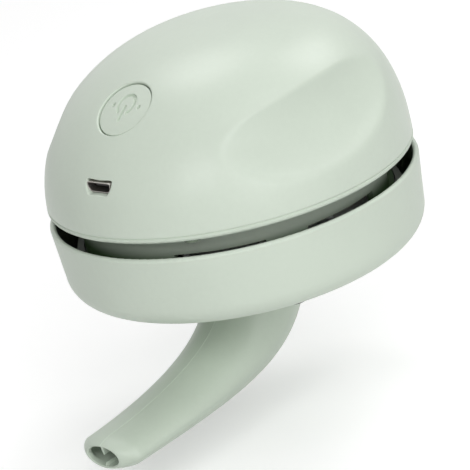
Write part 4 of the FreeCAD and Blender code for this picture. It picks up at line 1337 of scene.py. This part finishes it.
    def build(self) -> list[Piece]:
        """Make both half shells.

        Returns:
            The two halves.
        """
        made = []
        for side, name, node in ((-1, "nozzle_shell_left", "nozzle_half_left"),
                                 (1, "nozzle_shell_right", "nozzle_half_right")):
            skin = self.half(side)
            self.rib(skin, 0.2 if side < 0 else 0.7, self.mouth_height + 0.3, 0.55, side)
            self.rib(skin, -1.65, -self.mouth_height - 0.3, 0.3, side)
            piece = skin.build(name)
            Surface.NOZZLE.value.dress(piece)
            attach(piece, "nozzle")
            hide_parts(node)
            made.append(piece)
        return made


@dataclass
class BristleRing:
    """Twenty tufts of nylon hairs round the inlet."""

    tufts: int = 20
    circle: float = 15.2
    tuft_radius: float = 0.425
    hairs: int = 26
    sides: int = 6
    hair_radius: float = 0.06
    taper: float = 0.8
    root_spread: float = 0.8
    tip_spread: float = 1.1
    top: float = 0.6
    bottom: float = -0.78
    uneven: float = 0.12

    def build(self) -> Piece:
        """Make each hair a six-sided rod that tapers and leans out; a root is a random place in
        the tuft's disc, at a radius that goes with the square root of a random share.

        Returns:
            The bristles.
        """
        rng = np.random.default_rng(7)
        skin = Skin()
        spots = polar(self.circle, np.arange(self.tufts) * 2 * math.pi / self.tufts)
        spread = self.tuft_radius * np.sqrt(rng.random((self.tufts, self.hairs)))
        offset = polar(spread, 2 * math.pi * rng.random((self.tufts, self.hairs)))
        roots = (spots[:, None] + offset * self.root_spread).reshape(-1, 1, 2)
        tips = (spots[:, None] + offset * self.tip_spread).reshape(-1, 1, 2)
        ends = self.bottom + self.uneven * rng.random(len(roots))
        ring = polar(self.hair_radius, full_turn(self.sides))
        upper = np.concatenate([roots + ring, np.full((len(roots), self.sides, 1), self.top)], -1)
        lower = np.concatenate([tips + ring * self.taper,
                                np.repeat(ends[:, None, None], self.sides, 1)], -1)
        numbers = skin.place(np.stack([upper, lower], 1))
        ahead = np.roll(numbers, -1, axis=2)
        walls = [numbers[:, 0], ahead[:, 0], ahead[:, 1], numbers[:, 1]]
        skin.faces.append(np.stack(walls, -1).reshape(-1, 4))
        for caps in (numbers[:, 0], numbers[:, 1]):
            skin.faces.append(caps[:, [0, 1, 2, 3]])
            skin.faces.append(caps[:, [3, 4, 5, 0]])
        piece = skin.build("bristle_tufts", 60.0)
        Surface.BRISTLE.value.dress(piece)
        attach(piece, "bowl")
        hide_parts("brush_tufts")
        return piece


@dataclass
class BumperFeet:
    """Three domed rubber bumpers pressed into the bowl's underside."""

    circle: float = 33.8
    angles: tuple[float, ...] = (90.0, 210.0, 330.0)
    radius: float = 3.3
    sink: float = 0.6
    rise: float = 1.15
    edge: float = 0.2

    def build(self) -> Piece:
        """Make each bumper: a short wall, then a dome that drops by the square of the radius.

        Returns:
            The feet.
        """
        skin = Skin()
        reach = self.radius * np.sqrt(np.linspace(1.0, 0.01, 14))
        dome = np.stack([reach, -self.rise * (1.0 - (reach / self.radius) ** 2)], -1)
        profile = np.concatenate([[(self.radius - self.edge, self.sink),
                                   (self.radius, self.sink - self.edge)], dome])
        for turn in np.radians(self.angles):
            skin.lathe(profile, 48, polar(self.circle, turn), hollow=False)
        piece = skin.build("bumper_feet")
        Surface.FOOT_RUBBER.value.dress(piece)
        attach(piece, "bowl")
        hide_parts("rubber_feet")
        return piece


@dataclass
class InnerWorks:
    """The pieces whose solids already have their final shape, and the finish of each."""

    finishes: dict[str, Surface] = field(default_factory=lambda: {
        "mid_frame": Surface.FRAME, "dust_bowl": Surface.BOWL,
        "fan_cover": Surface.FILTER_PLASTIC, "filter_frame": Surface.FILTER_PLASTIC,
        "filter_mesh": Surface.CLOTH, "seal_ring": Surface.SEAL_RUBBER,
        "motor_can": Surface.MOTOR_STEEL, "motor_end_cap": Surface.CAP_PLASTIC,
        "motor_terminals": Surface.BRASS, "motor_damper": Surface.DAMPER_RUBBER,
        "battery_cell": Surface.WRAP, "battery_tabs": Surface.NICKEL, "main_board": Surface.BOARD,
        "board_chips": Surface.CHIP_PLASTIC, "board_screws": Surface.SCREW_STEEL,
        "usb_tongue": Surface.TONGUE_PLASTIC, "switch_board": Surface.BOARD,
        "push_switch": Surface.SWITCH_PLASTIC, "indicator_leds": Surface.LAMP,
        "frame_screws": Surface.SCREW_STEEL, "switch_plunger": Surface.PLUNGER_PLASTIC,
        "motor_shaft": Surface.SHAFT_STEEL, "impeller": Surface.FAN_PLASTIC,
        "brush_carrier": Surface.BRUSH_PLASTIC})

    def dress(self, nodes: dict[str, Piece]) -> None:
        """Give every such piece its finish.

        Args:
            nodes: The part's nodes by name.
        """
        for name, surface in self.finishes.items():
            surface.value.dress(nodes[name])
            log.info("dressed %s as %s", name, surface.value.name)


# ---- studio ----


@dataclass
class Studio:
    """Pale floor, soft lamps, even sky and the camera."""

    floor_level: float = -37.2
    floor_half: float = 4000.0
    floor_colour: Colour = (0.86, 0.86, 0.86, 1.0)
    floor_glow: float = 0.35
    fade: Pair = (0.25, 0.8)
    azimuth: float = 47.0
    elevation: float = math.degrees(0.357)
    roll: float = 0.226
    distance: float = 600.0
    target_across: float = -2.203
    target_height: float = 4.995
    focal_pixels: float = 2640.0
    frame_pixels: float = 470.0
    sensor: float = 36.0
    ambient: float = 0.21
    lamp_distance: float = 1000.0
    lamp_aim: Trio = (0.0, 0.0, 25.0)

    def floor(self) -> None:
        """Lay a wide plain floor that keeps the shadow, fades to white and is clear from below."""
        shader = Shader(bpy.data.materials.new("studio_floor"))
        paint = shader.node("BsdfDiffuse", None, {"Color": self.floor_colour})
        glow = shader.node("Emission", None, {
            "Color": WHITE, "Strength": shader.glance() * self.floor_glow})
        both = shader.node("AddShader", None, {0: paint, 1: glow})
        seen = Value(shader, shader.node("LightPath").outputs["Is Camera Ray"])
        across, along, _ = shader.axes()
        away = (across * across + along * along).maths("SQRT").ease(*self.fade)
        white = shader.node("Emission", None, {"Color": WHITE, "Strength": 1.0})
        faded = shader.node("MixShader", None, {0: away * seen, 1: both, 2: white})
        below = Value(shader, shader.node("NewGeometry").outputs["Backfacing"])
        clear = shader.node("BsdfTransparent")
        sheet = shader.node("MixShader", None, {0: below * seen, 1: faded, 2: clear})
        shader.node("OutputMaterial", None, {"Surface": sheet})
        mesh = bpy.data.meshes.new("floor")
        half, level = self.floor_half * MM, self.floor_level * MM
        mesh.from_pydata([(-half, -half, level), (half, -half, level), (half, half, level),
                          (-half, half, level)], [], [(0, 1, 2, 3)])
        mesh.materials.append(shader.owner)
        link("floor", mesh)

    def sky(self) -> None:
        """Fill light from all round, plain white where the camera or a reflection looks."""
        world = bpy.data.worlds.new("studio_sky")
        shader = Shader(world)
        strength = shader.value("MapRange", None, {
            "Value": shader.glance(), "To Min": self.ambient, "To Max": 1.0})
        glow = shader.node("Background", None, {"Color": WHITE, "Strength": strength})
        shader.node("OutputWorld", None, {"Surface": glow})
        bpy.context.scene.world = world

    def away(self, azimuth: float, elevation: float) -> Vector:
        """Unit vector, degrees round from the front, -Y, towards +X and above level."""
        turn, rise = math.radians(azimuth), math.radians(elevation)
        return Vector((math.sin(turn) * math.cos(rise), -math.cos(turn) * math.cos(rise),
                       math.sin(rise)))

    def lamp(self, name: str, azimuth: float, elevation: float, width: float,
             power: float) -> None:
        """Hang one square soft lamp that faces the part.

        Args:
            name: Name of the lamp.
            azimuth: Degrees round from the front, -Y, towards +X.
            elevation: Degrees above level.
            width: Side of the square, in millimetres.
            power: Watts.
        """
        data = bpy.data.lights.new(name, "AREA")
        data.shape = "SQUARE"
        data.size = width * MM
        data.energy = power
        away = self.away(azimuth, elevation)
        spot = (Vector(self.lamp_aim) + self.lamp_distance * away) * MM
        facing = away.to_track_quat("Z", "Y").to_matrix().to_4x4()
        link(name, data).matrix_world = Matrix.Translation(spot) @ facing

    def lights(self) -> None:
        """Hang a wide lamp at the right front, a small one at the front and three from above."""
        self.lamp("side_lamp", 66.0, 26.0, 700.0, 4.0)
        self.lamp("front_lamp", 22.0, 36.0, 380.0, 2.1)
        self.lamp("right_lamp", 96.0, 62.0, 600.0, 1.6)
        self.lamp("back_lamp", 175.0, 48.0, 400.0, 2.1)
        self.lamp("left_lamp", -121.0, 60.0, 380.0, 1.8)

    def camera(self) -> None:
        """Place the camera on the line that the part is seen along, leaning by the roll."""
        turn = math.radians(self.azimuth)
        right = Vector((math.cos(turn), math.sin(turn), 0.0))
        back = self.away(self.azimuth, self.elevation)
        up = back.cross(right)
        lean_right = math.cos(self.roll) * right - math.sin(self.roll) * up
        lean_up = math.sin(self.roll) * right + math.cos(self.roll) * up
        target = self.target_across * right + Vector((0.0, 0.0, self.target_height))
        spot = (target + self.distance * back) * MM
        frame = Matrix((lean_right, lean_up, back)).transposed().to_4x4()
        data = bpy.data.cameras.new("camera")
        data.sensor_width = self.sensor
        data.lens = self.focal_pixels / self.frame_pixels * self.sensor
        data.clip_start = 0.01
        data.clip_end = 100.0
        camera = link("camera", data)
        camera.matrix_world = Matrix.Translation(spot) @ frame
        bpy.context.scene.camera = camera

    def build(self) -> None:
        """Set up floor, sky, lamps, camera and plain colour handling."""
        self.floor()
        self.sky()
        self.lights()
        self.camera()
        bpy.context.scene.view_settings.view_transform = "Standard"


def main() -> None:
    """Set the studio, build every sub-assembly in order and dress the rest."""
    logging.basicConfig(level=logging.INFO, format="%(name)s: %(message)s")
    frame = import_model()
    Studio().build()
    log.info("built studio")
    made = [DomeShell().build(), PowerButton().build(), SocketShell().build()]
    made += CurvedNozzle().build()
    made += [BristleRing().build(), BumperFeet().build()]
    for piece in made:
        log.info("built %s with %d faces", piece.name, len(piece.data.polygons))
    InnerWorks().dress(frame["nodes"])


if __name__ == "__main__":
    main()
